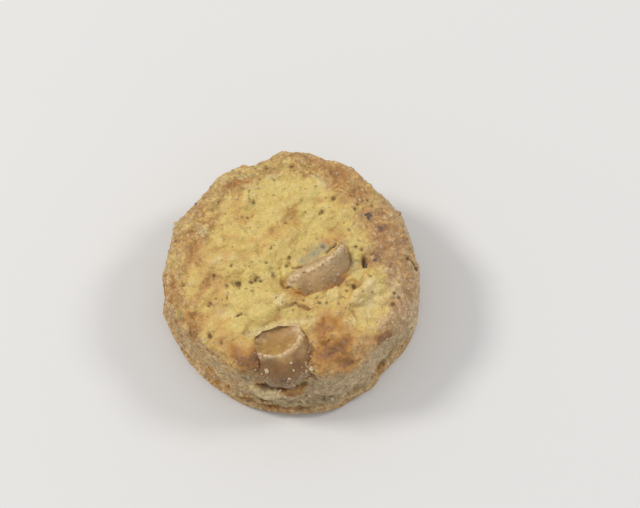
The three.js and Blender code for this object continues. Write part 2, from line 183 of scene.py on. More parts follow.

# Browned patches: place in the photograph in pixels, reach in millimetres, how much; the wide faint ones on
# the left half warm it and also darken it as painted shade
BROWNED = [
    (230, 237, 1.5, 0.2), (255, 241, 1.6, 0.2), (270, 230, 0.9, 0.25), (235, 209, 1.6, 0.16),
    (320.6, 199, 0.8, 0.22), (335, 212, 1.2, 0.2), (322, 241, 1.2, 0.3), (384, 238, 2.2, 0.3),
    (379.4, 228, 0.75, 0.6), (388, 250, 1.0, 0.3), (371, 250.6, 0.6, 0.35), (344, 174, 2.2, 0.34),
    (328, 168, 2.0, 0.26), (310, 160, 2.2, 0.28), (292, 167, 0.9, 0.3), (277, 163, 1.4, 0.2),
    (362, 187, 2.0, 0.24), (400, 245, 3.0, 0.12), (404, 275, 3.0, 0.1), (399, 303, 2.6, 0.12),
    (384, 338, 1.7, 1.4), (383, 326, 1.5, 0.2), (334, 333, 4.0, 0.5), (329, 320, 1.6, 0.1),
    (346, 344, 1.6, 0.2), (347, 363, 1.5, 0.55), (331, 355, 1.6, 0.35), (320, 354, 1.4, 0.4),
    (322, 367, 1.8, 0.3), (243, 358, 2.3, 0.62), (234, 354, 1.6, 0.3), (253, 366, 1.4, 0.5),
    (190, 315, 2.6, 0.12), (182, 300, 1.8, 0.1), (372, 345, 2.6, 0.22), (337, 367, 1.8, 0.25),
    (310, 350, 1.0, 0.3), (206, 226, 2.4, 0.1), (365, 263, 1.2, 0.4), (355, 286, 1.4, 0.35),
    (331, 288, 0.8, 0.3), (340, 279, 0.8, 0.4), (289, 392, 1.2, 0.5), (222, 343, 0.7, 0.5),
    (212, 303, 1.0, 0.2), (200, 242, 1.3, 0.12), (352, 372, 1.6, 0.3), (268, 383, 0.9, 0.3),
    (278, 412, 3.0, 0.2), (212, 272, 5.0, 0.14), (207, 306, 4.0, 0.1), (226, 222, 4.0, 0.08),
    (252, 250, 5.0, 0.07), (283, 389, 1.6, 0.3), (297, 391, 1.5, 0.4), (360, 350, 2.4, 0.12),
    (338, 283, 1.3, 0.3), (344.5, 276, 0.9, 0.3), (326, 241.5, 1.0, 0.3), (325, 281, 1.4, 0.3),
    (334, 277, 1.2, 0.25),
]

# Pale patches (paler crumb, and painted highlight on lit lumps and along the lip's edge), and greyish ones
# (painted shade): place in the photograph in pixels, reach in millimetres, how much
PALE_AND_LIT_PATCHES = [
    (332, 291, 1.5, 0.3), (370, 288, 1.6, 0.7), (357, 300, 1.6, 0.6), (380, 303, 1.5, 0.4),
    (370, 301, 2.2, 0.7), (392, 290, 1.6, 0.4), (364, 312, 1.8, 0.45), (201, 229, 1.1, 0.7),
    (274, 176, 0.9, 0.6), (240, 177, 0.9, 0.6), (266, 392, 1.9, 0.9), (300, 401, 1.2, 0.6),
    (286, 403, 1.2, 0.5), (312, 329, 0.8, 0.9), (314, 322, 0.8, 0.7), (290, 327, 0.7, 0.6),
    (270, 331, 0.7, 0.6), (300, 322, 0.7, 0.6), (256, 334, 0.7, 0.5), (279, 299, 1.5, 0.5),
    (224, 314, 1.5, 0.4), (216, 262, 1.6, 0.4), (325, 183, 1.4, 0.4), (350, 262, 1.2, 0.4),
    (334, 333, 1.1, 0.35), (337.5, 341.5, 0.9, 0.3), (351, 322, 1.4, 0.35), (377, 321, 1.2, 0.35),
]
GREYISH_SHADE_PATCHES = [
    (314, 256, 1.6, 1.0), (322, 249, 1.3, 0.95), (305, 261, 1.2, 0.8), (355, 270, 1.3, 0.4),
    (330, 398, 1.6, 0.6), (244, 378, 1.8, 0.5), (345, 242, 0.8, 0.4), (222, 372, 2.2, 0.3),
    (352, 264, 1.8, 0.5),
]

# Sugar grains that show singly: place in the photograph in pixels and radius in millimetres
NAMED_GRAINS = [
    (267, 371, 0.52), (311.5, 369, 0.46), (291, 363, 0.3), (293.5, 370.5, 0.24), (332, 398, 0.48),
    (236, 218, 0.3), (280, 391, 0.34), (285, 396, 0.26), (300, 403, 0.3), (261, 408, 0.26), (335, 392, 0.3),
    (222, 195, 0.26), (207, 243, 0.24), (237, 199, 0.28), (360, 200, 0.3), (392, 322, 0.3),
    (402, 318, 0.28), (375, 352, 0.3), (361, 377, 0.26), (190, 345, 0.26), (215, 377, 0.28),
    (241, 392, 0.26), (309, 395, 0.26), (318, 176, 0.24),
]

GRAIN_SEED = 11

# The pale broken edge of the front kernel, with a painted highlight along it, in the photograph in pixels
CRESCENT = (
    (257, 338), (254, 343), (254.5, 349), (257, 353.5), (262, 356), (270, 355.5), (281, 355), (287, 352),
    (293.5, 348), (298.5, 341.5), (301, 334.5), (300, 328.5),
)
# The dusty ridge of the middle kernel, with a painted highlight along it, in the photograph in pixels
RIDGE = (
    (289, 285), (298.5, 275), (307, 271), (316, 267.5), (328, 260.5), (336, 253.5), (342, 247),
)
# How the ridge strays from the CAD kernel's: middle, reach and push away from the broken face, in
# millimetres
RIDGE_BENDS = [(6.4, 2.2, 2.7, 1.7), (0.4, -4.2, 2.2, -1.1)]

# Flecks of nut skin that are fused to the CAD dough: middle in millimetres
SKIN_FLECKS = [(15.0, 9.0, 19.0), (16.6, 0.0, 18.4), (17.3, 6.2, 18.6)]

# Flakes of dark nut skin: place in the photograph in pixels, length, width, turn in degrees
FLAKES = [
    (367, 214.5, 1.2, 0.8, 60.0), (368.5, 218, 0.9, 0.6, 120), (364.5, 262, 1.0, 0.5, 5.0),
    (366.5, 266, 0.9, 0.5, 70.0), (375, 260, 0.7, 0.35, 20.0), (411.5, 262, 1.5, 0.35, -57.0),
    (416, 268.5, 1.2, 0.35, -50.0), (196, 204, 0.6, 0.4, 30.0), (175.5, 241.5, 0.5, 0.3, 60.0),
    (333.8, 247, 0.5, 0.3, 50.0), (402, 346, 0.6, 0.3, 40.0), (238, 315.5, 0.7, 0.25, 30.0),
]

# Tones laid over a surface: painted shade between granules, pale granules, flecks of skin, and painted shade
# in pores and in pits
CREVICE_SHADE_TONE = (0.24, 0.13, 0.05)
SPECK_TONE = (0.74, 0.60, 0.40)
FLECK_TONE = (0.10, 0.06, 0.045)
PORE_SHADE_TONE = (0.15, 0.08, 0.03)
PIT_SHADE_TONE = (0.18, 0.10, 0.035)
KERNEL_SPECK_TONE = (0.66, 0.52, 0.34)
SUGAR_TONES = ((0.44, 0.33, 0.19), (0.64, 0.53, 0.37))

# Lights of the stage: place and size in metres, colour
LEFT_LIGHT = ((-0.8, 0.14, 0.82), 0.3, (1.0, 0.985, 0.95))
RIGHT_LIGHT = ((0.85, 0.22, 0.85), 0.35, (1.0, 0.98, 0.95))
SKY_COLOUR = (0.93, 0.95, 1.0, 1.0)
FLOOR_HALF_WIDTH = 1.5

# How steeply pits and patches end: 2 is a soft edge, and more is a sharper one
PIT_STEEPNESS = 2.6
PATCH_STEEPNESS = 2.4

# Heights in millimetres from which the dough is drawn up against each kernel, in part and in full
GAP_CLOSING = ((FRONT_KERNEL, 10.8, 12.6), (MIDDLE_KERNEL, -1.5, 0.0))

# Masks of the crumbs that lie on the kernels
KERNEL_CRUMB_MASKS = {"toast": 0.4, "grit": 0.6, "flour": 0.3, "dusted": 0.8}

WELD_DISTANCE = 0.001 * MM
FLAKE_CORNERS = 11
FLAKE_LIFT = 0.05 * MM
FLAKE_HALF_THICKNESS = 0.06 * MM


class DoughSettings(bpy.types.PropertyGroup):
    """Sizes and colours of the dough"""

    voxel: FloatProperty(
        name="Mesh Step", description="Size of the mesh's cells", default=0.24 * MM,
        unit="LENGTH", precision=5)
    triangles: IntProperty(
        name="Triangles", description="How many triangles the dough keeps", default=194000, min=1000)
    facet_smoothing: IntProperty(
        name="Facet Smoothing", description="Passes that round off the CAD facets", default=6, min=0)
    nodule_size: FloatProperty(
        name="Nodule Size", description="Width of the lumps of the crust", default=2.2 * MM,
        unit="LENGTH", precision=5)
    nodule_height: FloatProperty(
        name="Nodule Height", description="Height of the lumps", default=0.94 * MM,
        unit="LENGTH", precision=5)
    granule_size: FloatProperty(
        name="Granule Size", description="Width of the fine grains", default=0.9 * MM,
        unit="LENGTH", precision=5)
    granule_height: FloatProperty(
        name="Granule Height", description="Height of the fine grains", default=0.3 * MM,
        unit="LENGTH", precision=5)
    crag_size: FloatProperty(
        name="Crag Size", description="Width of the ragged crags", default=1.3 * MM,
        unit="LENGTH", precision=5)
    crag_height: FloatProperty(
        name="Crag Height", description="Height of the ragged crags", default=0.24 * MM,
        unit="LENGTH", precision=5)
    smear_stretch: FloatProperty(
        name="Smear Stretch", description="How much longer than wide the lumps are", default=1.3)
    pale: FloatVectorProperty(
        name="Pale Crumb", description="Colour of the buttery top", subtype="COLOR", size=3,
        default=(0.60, 0.452, 0.138), min=0, max=1)
    amber: FloatVectorProperty(
        name="Amber", description="Colour of the warm streaks on the top", subtype="COLOR", size=3,
        default=(0.57, 0.375, 0.10), min=0, max=1)
    # Cream is also the colour of the painted highlight on lump tops, lit lumps and the lip's edge
    cream_and_highlight: FloatVectorProperty(
        name="Cream", description="Colour of the palest lumps", subtype="COLOR", size=3,
        default=(0.70, 0.56, 0.29), min=0, max=1)
    golden: FloatVectorProperty(
        name="Golden Crust", description="Colour of the lightly baked rim", subtype="COLOR", size=3,
        default=(0.53, 0.31, 0.095), min=0, max=1)
    brown: FloatVectorProperty(
        name="Brown Crust", description="Colour of the well baked patches", subtype="COLOR", size=3,
        default=(0.42, 0.192, 0.032), min=0, max=1)
    dark: FloatVectorProperty(
        name="Dark Crust", description="Colour of the darkest spots", subtype="COLOR", size=3,
        default=(0.19, 0.08, 0.035), min=0, max=1)
    floury: FloatVectorProperty(
        name="Floury Side", description="Colour of the dry side wall", subtype="COLOR", size=3,
        default=(0.52, 0.38, 0.205), min=0, max=1)
    dusty: FloatVectorProperty(
        name="Dusty Rim", description="Colour of the flour that lies on the browned rim",
        subtype="COLOR", size=3,
        default=(0.54, 0.39, 0.25), min=0, max=1)
    # Painted shade: the cool grey of the dough's shaded slopes by the kernels and on the lower front side
    greyish_shade: FloatVectorProperty(
        name="Greyish Crumb", description="Colour of the damp crumb by the kernels",
        subtype="COLOR", size=3,
        default=(0.30, 0.265, 0.16), min=0, max=1)


class KernelSettings(bpy.types.PropertyGroup):
    """Colours of the two kernels"""

    flesh: FloatVectorProperty(
        name="Flesh", description="Colour of the roasted flesh", subtype="COLOR", size=3,
        default=(0.44, 0.275, 0.11), min=0, max=1)
    golden: FloatVectorProperty(
        name="Golden Flesh", description="Colour of the flesh near the broken edge",
        subtype="COLOR", size=3,
        default=(0.38, 0.215, 0.065), min=0, max=1)
    skin: FloatVectorProperty(
        name="Skin", description="Colour where the thin brown skin clings", subtype="COLOR", size=3,
        default=(0.19, 0.088, 0.024), min=0, max=1)
    dust: FloatVectorProperty(
        name="Dust", description="Colour of the flour dust on it", subtype="COLOR", size=3,
        default=(0.34, 0.24, 0.135), min=0, max=1)
    # Also the painted highlight along the front kernel's crescent and the middle kernel's ridge
    broken_edge_and_highlight: FloatVectorProperty(
        name="Broken Edge", description="Colour of the chalky broken edge", subtype="COLOR", size=3,
        default=(0.68, 0.52, 0.30), min=0, max=1)
    film: FloatVectorProperty(
        name="Dough Film", description="Colour of the dough that clings to it", subtype="COLOR", size=3,
        default=(0.58, 0.39, 0.15), min=0, max=1)


class ToppingSettings(bpy.types.PropertyGroup):
    """Crumbs, sugar grains and flakes of nut skin"""

    crumb_density: FloatProperty(
        name="Crumbs", description="Crumbs on a square metre of crust", default=0.75e6)
    kernel_crumb_density: FloatProperty(
        name="Kernel Crumbs", description="Crumbs on a square metre of kernel", default=3.0e6)
    crumb_smallest: FloatProperty(
        name="Smallest Crumb", description="Half width", default=0.12 * MM, unit="LENGTH", precision=5)
    crumb_largest: FloatProperty(
        name="Largest Crumb", description="Half width", default=0.36 * MM, unit="LENGTH", precision=5)
    sugar_density: FloatProperty(
        name="Sugar", description="Sugar grains on a square metre of crust", default=0.15e6)
    sugar_smallest: FloatProperty(
        name="Smallest Grain", description="Half width", default=0.14 * MM, unit="LENGTH", precision=5)
    sugar_largest: FloatProperty(
        name="Largest Grain", description="Half width", default=0.32 * MM, unit="LENGTH", precision=5)
    flake_colour: FloatVectorProperty(
        name="Flake Colour", description="Colour of the loose nut skin", subtype="COLOR", size=3,
        default=(0.055, 0.035, 0.03), min=0, max=1)


class StageSettings(bpy.types.PropertyGroup):
    """Lights and floor"""

    left_power: FloatProperty(
        name="Left Light", description="Light from behind on the left", default=6.25, unit="POWER")
    right_power: FloatProperty(
        name="Right Light", description="Light from behind on the right", default=4.2, unit="POWER")
    fill: FloatProperty(name="Fill", description="Strength of the light from all round", default=0.69)
    floor: FloatVectorProperty(
        name="Floor", description="Colour of the floor", subtype="COLOR", size=3,
        default=(0.68, 0.665, 0.64), min=0, max=1)


def lattice_value(i, j, k):
    """Repeatable random values from -1 to 1 for whole-number places."""
    h = (i * 374761393) ^ (j * 668265263) ^ (k * 1440662683)
    h &= 0xFFFFFFFF
    h = ((h ^ (h >> 13)) * 1274126177) & 0xFFFFFFFF
    h ^= h >> 16
    return h / 2147483648.0 - 1.0


def noise(points, size, layer=0):
    """Smooth noise from -1 to 1 at points in millimetres, with lumps about size wide."""
    scaled = np.asarray(points, float) / size + np.array([0.0, 0.0, 17.0 * layer])
    cell = np.floor(scaled).astype(np.int64)
    t = scaled - cell
    u = t * t * t * (t * (t * 6 - 15) + 10)
    total = 0.0
    for a in (0, 1):
        for b in (0, 1):
            for c in (0, 1):
                weight = (u[:, 0] if a else 1 - u[:, 0])
                weight = weight * (u[:, 1] if b else 1 - u[:, 1])
                weight = weight * (u[:, 2] if c else 1 - u[:, 2])
                total = total + weight * lattice_value(cell[:, 0] + a, cell[:, 1] + b, cell[:, 2] + c)
    return total


def smoothstep(x, low, high):
    """Goes from 0 at low to 1 at high, which may also be the smaller of the two."""
    t = np.clip((x - low) / (high - low), 0.0, 1.0)
    return t * t * (3 - 2 * t)


def oval_distance(kernel, points):
    """Rough distance in millimetres from a kernel's whole oval body, negative inside, and the way out."""
    turn = math.radians(kernel["turn"])
    rel = points - (np.array(kernel["middle"]) + SHIFT)
    along = rel[:, 0] * math.cos(turn) + rel[:, 1] * math.sin(turn)
    across = rel[:, 1] * math.cos(turn) - rel[:, 0] * math.sin(turn)
    a, b, c = kernel["half"]
    k0 = np.sqrt((along / a) ** 2 + (across / b) ** 2 + (rel[:, 2] / c) ** 2)
    slope = np.stack([along / a**2, across / b**2, rel[:, 2] / c**2], axis=1)
    k1 = np.maximum(np.linalg.norm(slope, axis=1), 1e-6)
    out = slope / k1[:, None]
    x = out[:, 0] * math.cos(turn) - out[:, 1] * math.sin(turn)
    y = out[:, 0] * math.sin(turn) + out[:, 1] * math.cos(turn)
    return k0 * (k0 - 1) / k1, np.stack([x, y, out[:, 2]], axis=1)


class PhotoView:
    """The photograph's camera, which finds the point of a surface that shows at a pixel."""

    def __init__(self, *surfaces):
        self.back = Vector((0.0, -math.cos(CAMERA_ELEVATION), math.sin(CAMERA_ELEVATION)))
        self.right = Vector((1.0, 0.0, 0.0))
        self.up = self.back.cross(self.right)
        aim = Vector([(a + s) * MM for a, s in zip(CAMERA_AIM, SHIFT)])
        self.eye = aim + self.back * CAMERA_DISTANCE
        self.surfaces = surfaces

    def ray(self, x, y):
        """The direction from the camera through a pixel."""
        across = (x - PHOTO_SIZE[0] / 2) / FOCAL_PIXELS
        upwards = (PHOTO_SIZE[1] / 2 - y) / FOCAL_PIXELS
        return (self.right * across + self.up * upwards - self.back).normalized()

    def hit(self, x, y):
        """The place and normal that show at a pixel, or the nearest ones just off the outline."""
        ray = self.ray(x, y)
        hits = [surface.ray_cast(self.eye, ray) for surface in self.surfaces]
        hits = [hit for hit in hits if hit[0] is not None]
        if not hits:
            hits = [surface.find_nearest(self.eye + ray * CAMERA_DISTANCE) for surface in self.surfaces]
        place, normal, _, _ = min(hits, key=lambda hit: (hit[0] - self.eye).length)
        return place, normal

    def point(self, x, y):
        """The place that shows at a pixel, in millimetres."""
        return np.array(self.hit(x, y)[0]) / MM


def surface_of(piece):
    """The surface of a piece, for rays and nearest points."""
    return BVHTree.FromObject(piece, bpy.context.evaluated_depsgraph_get())


def surface_of_node(name):
    """The surface of a CAD node."""
    shape = bmesh.new()
    shape.from_mesh(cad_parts[name].data)
    surface = BVHTree.FromBMesh(shape)
    shape.free()
    return surface


def bent(points, size, amount, layer):
    """Points strayed by noise, which makes round things uneven."""
    stray = [noise(points, size, layer + i) for i in range(3)]
    return points + amount * np.stack(stray, axis=1)


def near(points, place, reach, power=2.0):
    """How strongly points lie near a place, from 0 to 1."""
    away = np.linalg.norm(points - place, axis=1) / reach
    return np.exp(-(away**power))


def near_line(points, ends, half_width):
    """How strongly points lie near a line of straight stretches, from 0 to 1."""
    best = np.full(len(points), 1e6)
    for start, end in zip(ends, ends[1:]):
        span = end - start
        share = np.clip((points - start) @ span / (span @ span), 0.0, 1.0)
        foot = start + share[:, None] * span
        best = np.minimum(best, np.linalg.norm(points - foot, axis=1))
    return np.exp(-((best / half_width) ** 2))


def coordinates(mesh):
    """A mesh's vertices in millimetres."""
    values = np.empty(len(mesh.vertices) * 3, np.float32)
    mesh.vertices.foreach_get("co", values)
    return values.reshape(-1, 3).astype(float) / MM


def normals(mesh):
    """A mesh's vertex normals."""
    values = np.empty(len(mesh.vertices) * 3, np.float32)
    mesh.vertex_normals.foreach_get("vector", values)
    return values.reshape(-1, 3).astype(float)


def set_coordinates(mesh, points):
    """Moves a mesh's vertices to points in millimetres."""
    mesh.vertices.foreach_set("co", (np.asarray(points) * MM).astype(np.float32).ravel())
    mesh.update()


def paint(mesh, name, values):
    """Stores one number for each vertex, for the materials and the scatter to read."""
    attribute = mesh.attributes.get(name) or mesh.attributes.new(name, "FLOAT", "POINT")
    attribute.data.foreach_set("value", np.clip(values, 0.0, 1.0).astype(np.float32))


def link(name, mesh):
    """Puts a mesh in the scene as a piece."""
    piece = bpy.data.objects.new(name, mesh)
    bpy.context.scene.collection.objects.link(piece)
    return piece


def applied(piece):
    """Swaps a piece's mesh for its evaluated one and takes its modifiers away."""
    graph = bpy.context.evaluated_depsgraph_get()
    graph.update()
    mesh = bpy.data.meshes.new_from_object(piece.evaluated_get(graph), depsgraph=graph)
    piece.modifiers.clear()
    old, piece.data = piece.data, mesh
    bpy.data.meshes.remove(old)
    return piece


def shade_smooth(mesh, smooth=True):
    """Shades all faces of a mesh smooth."""
    mesh.polygons.foreach_set("use_smooth", [smooth] * len(mesh.polygons))
    mesh.update()


def hand_over(piece, slot, *nodes):
    """Attaches a finished piece to the root body and hides the CAD nodes that it stands for; the slot is not
    used.
    """
    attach(piece, "root")
    if nodes:
        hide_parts(*nodes)


def kernel_surface(kernel, directions):
    """Points of a kernel along unit directions, and how much each belongs to the broken face."""
    face = np.array(kernel["face_normal"]) / np.linalg.norm(kernel["face_normal"])
    turn = math.radians(kernel["turn"])
    a, b, c = kernel["half"]
    along = directions[:, 0] * math.cos(turn) + directions[:, 1] * math.sin(turn)
    across = directions[:, 1] * math.cos(turn) - directions[:, 0] * math.sin(turn)
    ribs = 1 + RIB_HEIGHT / a * np.cos(RIB_COUNT * np.arctan2(directions[:, 2], across))
    whole = ribs / np.sqrt((along / a) ** 2 + (across / b) ** 2 + (directions[:, 2] / c) ** 2)
    towards = directions @ face
    to_face = np.where(towards > 0, kernel["face_height"] / np.maximum(towards, 1e-6), 1e3)
    share = np.clip(0.5 + 0.5 * (to_face - whole) / EDGE_BLUNTNESS, 0, 1)
    reach = to_face + (whole - to_face) * share - EDGE_BLUNTNESS * share * (1 - share)
    points = directions * reach[:, None]
    level = points @ face
    off_axis = np.linalg.norm(points - level[:, None] * face, axis=1) / kernel["hollow_width"]
    sunk = kernel["hollow_depth"] * np.exp(-(off_axis**4)) * smoothstep(towards, 0, 0.4)
    points = points - sunk[:, None] * face
    return points + np.array(kernel["middle"]), 1 - share


def sphere_mesh(name, subdivisions):
    """A ball of triangles, one metre in radius."""
    shape = bmesh.new()
    bmesh.ops.create_icosphere(shape, subdivisions=subdivisions, radius=1.0)
    mesh = bpy.data.meshes.new(name)
    shape.to_mesh(mesh)
    shape.free()
    return mesh


def plan_shift():
    """How far the CAD part was moved in plan when it was centred on its base."""
    low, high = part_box(FRONT_KERNEL["node"])
    mesh = sphere_mesh("probe", 5)
    values = coordinates(mesh) * MM
    bpy.data.meshes.remove(mesh)
    points, _ = kernel_surface(FRONT_KERNEL, values / np.linalg.norm(values, axis=1)[:, None])
    middle = (points.min(0) + points.max(0)) / 2
    packed = np.array((low + high) / 2) / MM
    return np.array([packed[0] - middle[0], packed[1] - middle[1], 0.0])


SHIFT = plan_shift()


def new_material(name):
    """A material, its node tree and its shader."""
    material = bpy.data.materials.new(name)
    material.use_nodes = True
    tree = material.node_tree
    return material, tree, tree.nodes["Principled BSDF"]


def feed(tree, node, inputs):
    """Links sockets to a node's inputs, and sets its other inputs to plain values."""
    for key, value in inputs.items():
        socket = node.inputs[key]
        if isinstance(value, bpy.types.NodeSocket):
            tree.links.new(value, socket)
        elif socket.type == "RGBA":
            socket.default_value = (*value, 1.0)
        else:
            socket.default_value = value


def add(tree, kind, inputs=None, **settings):
    """Adds a node with its settings and inputs, to the right of the others."""
    node = tree.nodes.new(kind)
    node.location = (200.0 * len(tree.nodes), 0.0)
    for key, value in settings.items():
        setattr(node, key, value)
    feed(tree, node, inputs or {})
    return node


def math_node(tree, operation, first, second, clamp=False):
    """The result of a sum on two numbers or sockets."""
    node = add(tree, "ShaderNodeMath", {0: first, 1: second}, operation=operation, use_clamp=clamp)
    return node.outputs[0]


def times(tree, first, second, clamp=False):
    return math_node(tree, "MULTIPLY", first, second, clamp)


def plus(tree, first, second, clamp=False):
    return math_node(tree, "ADD", first, second, clamp)


def minus(tree, first, second, clamp=False):
    return math_node(tree, "SUBTRACT", first, second, clamp)


def vector_node(tree, operation, first, second):
    """Vector maths, where scaling takes a number as its second value."""
    key = "Scale" if operation == "SCALE" else 1
    return add(tree, "ShaderNodeVectorMath", {0: first, key: second}, operation=operation).outputs[0]


def mix_colour(tree, factor, first, second, blend="MIX"):
    """The second colour laid over the first, as far as the factor says."""
    node = add(tree, "ShaderNodeMix", data_type="RGBA", blend_type=blend)
    feed(tree, node, {0: factor, 6: first, 7: second})
    return node.outputs[2]


def layered(tree, colour, layers):
    """Lays colours over one another, each through its mask."""
    for mask, over in layers:
        colour = mix_colour(tree, mask, colour, over)
    return colour


def attribute(tree, name):
    """What the vertices hold under a name, for a material."""
    return add(tree, "ShaderNodeAttribute", attribute_name=name).outputs["Fac"]


def new_tree(name, kind, inputs, outputs):
    """A node tree with named sockets, given as a type or as a number; its inputs, and its last node."""
    tree = bpy.data.node_groups.new(name, kind)
    for in_out, sockets in (("INPUT", inputs), ("OUTPUT", outputs)):
        for label, what in sockets.items():
            kind_of_socket = what if isinstance(what, str) else "Float"
            socket = tree.interface.new_socket(
                label, in_out=in_out, socket_type="NodeSocket" + kind_of_socket)
            if not isinstance(what, str):
                socket.default_value = what
    return tree, add(tree, "NodeGroupInput").outputs, add(tree, "NodeGroupOutput")


def grain_group():
    """Shader group: fine mottling of a baked or roasted surface, as a mask and a height."""
    name = "Baked Grain"
    if name in bpy.data.node_groups:
        return bpy.data.node_groups[name]
    inputs = {"Scale": 900.0, "Detail": 4.0, "Contrast": 1.0}
    group, given, sink = new_tree(name, "ShaderNodeTree", inputs, {"Mottle": "Float", "Height": "Float"})
    place = add(group, "ShaderNodeTexCoord").outputs["Object"]
    broad, fine = (
        add(group, "ShaderNodeTexNoise", {
            "Vector": place,
            "Scale": times(group, given["Scale"], factor),
            "Detail": given["Detail"],
        }).outputs[0]
        for factor in (1.0, 4.3)
    )
    spread = times(group, minus(group, broad, 0.5), given["Contrast"])
    feed(group, sink, {
        "Mottle": plus(group, spread, 0.5, clamp=True),
        "Height": plus(group, broad, times(group, fine, 0.5)),
    })
    return group


def grain(tree, scale, detail, contrast):
    """Mottling, from its waves in a metre, its detail and its contrast."""
    values = {"Scale": scale, "Detail": detail, "Contrast": contrast}
    node = add(tree, "ShaderNodeGroup", node_tree=grain_group())
    feed(tree, node, values)
    return node.outputs


def granule_group():
    """Shader group: small grains side by side, each with chance values of its own, and their height."""
    name = "Granules"
    if name in bpy.data.node_groups:
        return bpy.data.node_groups[name]
    outputs = dict.fromkeys(("Tint", "Shade", "Speck", "Height"), "Float")
    group, given, sink = new_tree(name, "ShaderNodeTree", {"Size": 0.6 * MM}, outputs)
    place = add(group, "ShaderNodeTexCoord").outputs["Object"]
    stray = add(group, "ShaderNodeTexNoise", {"Vector": place, "Scale": 1900.0, "Detail": 3.0})
    bend = vector_node(group, "SCALE", stray.outputs["Color"], times(group, given["Size"], 1.7))
    cells = add(group, "ShaderNodeTexVoronoi", {
        "Vector": vector_node(group, "ADD", place, bend),
        "Scale": math_node(group, "DIVIDE", 1.0, given["Size"]),
    })
    chance = add(group, "ShaderNodeSeparateColor", {0: cells.outputs["Color"]}).outputs
    rare = times(group, minus(group, chance[2], 0.86), 12.0, clamp=True)
    round_off = minus(group, 1.0, times(group, cells.outputs["Distance"], 1.4), clamp=True)
    feed(group, sink, {
        "Tint": chance[0],
        "Shade": chance[1],
        "Speck": times(group, rare, round_off),
        "Height": round_off,
    })
    return group


def granules(tree, size):
    """Small grains side by side, about size metres wide."""
    node = add(tree, "ShaderNodeGroup", node_tree=granule_group())
    feed(tree, node, {"Size": size})
    return node.outputs


def ramp(tree, value, start, end):
    """A mask that rises from 0 to 1 between two values."""
    inputs = {"Value": value, "From Min": start, "From Max": end}
    return add(tree, "ShaderNodeMapRange", inputs, clamp=True).outputs[0]


def shaded(tree, colour, value, dark, light):
    """A colour made lighter or darker by a value from 0 to 1."""
    inputs = {"Value": value, "To Min": dark, "To Max": light}
    level = add(tree, "ShaderNodeMapRange", inputs, clamp=True).outputs[0]
    grey = add(tree, "ShaderNodeCombineColor", {0: level, 1: level, 2: level})
    return mix_colour(tree, 1.0, colour, grey.outputs[0], "MULTIPLY")


def soften(tree, shader, weight, radius, depth):
    """Lets light into a surface, to a depth in metres that differs by colour."""
    feed(tree, shader, {
        "Subsurface Weight": weight,
        "Subsurface Radius": radius,
        "Subsurface Scale": depth,
    })


def roughen(tree, shader, height, strength, distance):
    """Gives a surface a fine bump from a height."""
    bump = add(tree, "ShaderNodeBump", {"Height": height, "Strength": strength, "Distance": distance})
    feed(tree, shader, {"Normal": bump.outputs[0]})


def dough_material():
    """Pale crumb, golden, browned and floury crust, pores and pits, by the painted masks, with painted shade
    in the crevices, pores, pits and greyish patches and a painted highlight in part of the cream.
    """
    settings = bpy.context.scene.cookie_dough_settings
    name = "Baked Dough"
    if name in bpy.data.materials:
        return bpy.data.materials[name]
    material, tree, shader = new_material(name)
    broad = grain(tree, 620.0, 5.0, 2.2)
    fine = grain(tree, 2600.0, 2.0, 2.0)
    soft = grain(tree, 1150.0, 1.0, 2.0)
    cells = granules(tree, 0.62 * MM)
    holes = granules(tree, 1.1 * MM)
    grit = attribute(tree, "grit")

    def wander(value, amount):
        return times(tree, minus(tree, value, 0.5), amount)

    toast = plus(tree, attribute(tree, "toast"), wander(broad["Mottle"], 0.12))
    toast = plus(tree, toast, wander(fine["Mottle"], 0.1))
    toast = plus(tree, toast, times(tree, wander(cells["Tint"], 0.36), grit))
    colour = layered(tree, settings.pale, (
        (ramp(tree, toast, 0.02, 0.25), settings.amber),
        (ramp(tree, toast, 0.2, 0.42), settings.golden),
        (attribute(tree, "flour"), settings.floury),
        # Cream: paler crumb, and a painted highlight
        (attribute(tree, "pale"), settings.cream_and_highlight),
        # Greyish: painted shade, a cool grey
        (attribute(tree, "greyish_shade"), settings.greyish_shade),
        (ramp(tree, toast, 0.4, 0.72), settings.brown),
        (ramp(tree, toast, 0.72, 1.1), settings.dark),
        (attribute(tree, "dusted"), settings.dusty),
    ))
    colour = shaded(tree, colour, fine["Mottle"], 0.82, 1.18)
    level = plus(tree, times(tree, wander(cells["Shade"], 1.0), grit), 0.5)
    colour = shaded(tree, colour, level, 0.8, 1.29)
    # Painted shade between the granules, where the crust is gritty
    crevice_shade = times(tree, ramp(tree, cells["Height"], 0.24, 0.0), grit)
    smooth_part = minus(tree, 1.0, grit, clamp=True)
    # Pores: painted shade in small holes on the smooth top
    pore_shade = times(tree, ramp(tree, holes["Height"], 0.62, 0.72), smooth_part)
    pore_shade = times(tree, pore_shade, ramp(tree, holes["Shade"], 0.45, 0.7))
    colour = layered(tree, colour, (
        (times(tree, crevice_shade, 0.34), CREVICE_SHADE_TONE),
        (times(tree, cells["Speck"], times(tree, grit, 0.85)), SPECK_TONE),
        (attribute(tree, "fleck"), FLECK_TONE),
        (times(tree, pore_shade, 0.95), PORE_SHADE_TONE),
        # Depth: painted shade in pits, slits, gaps and between the lumps
        (attribute(tree, "depth"), PIT_SHADE_TONE),
    ))
    rough = add(tree, "ShaderNodeMapRange", {
        "Value": attribute(tree, "toast"),
        "From Min": 0.3,
        "From Max": 0.6,
        "To Min": 0.58,
        "To Max": 0.48,
    }, clamp=True)
    feed(tree, shader, {"Base Color": colour, "Roughness": rough.outputs[0]})
    soften(tree, shader, 0.1, (1.0, 0.6, 0.25), 0.5 * MM)
    gritty = plus(tree, times(tree, grit, 0.7), 0.3)
    lumpy = times(tree, cells["Height"], times(tree, grit, 0.8))
    lumpy = plus(tree, lumpy, times(tree, fine["Height"], gritty))
    roughen(tree, shader, plus(tree, lumpy, soft["Height"]), 0.9, 0.24 * MM)
    return material


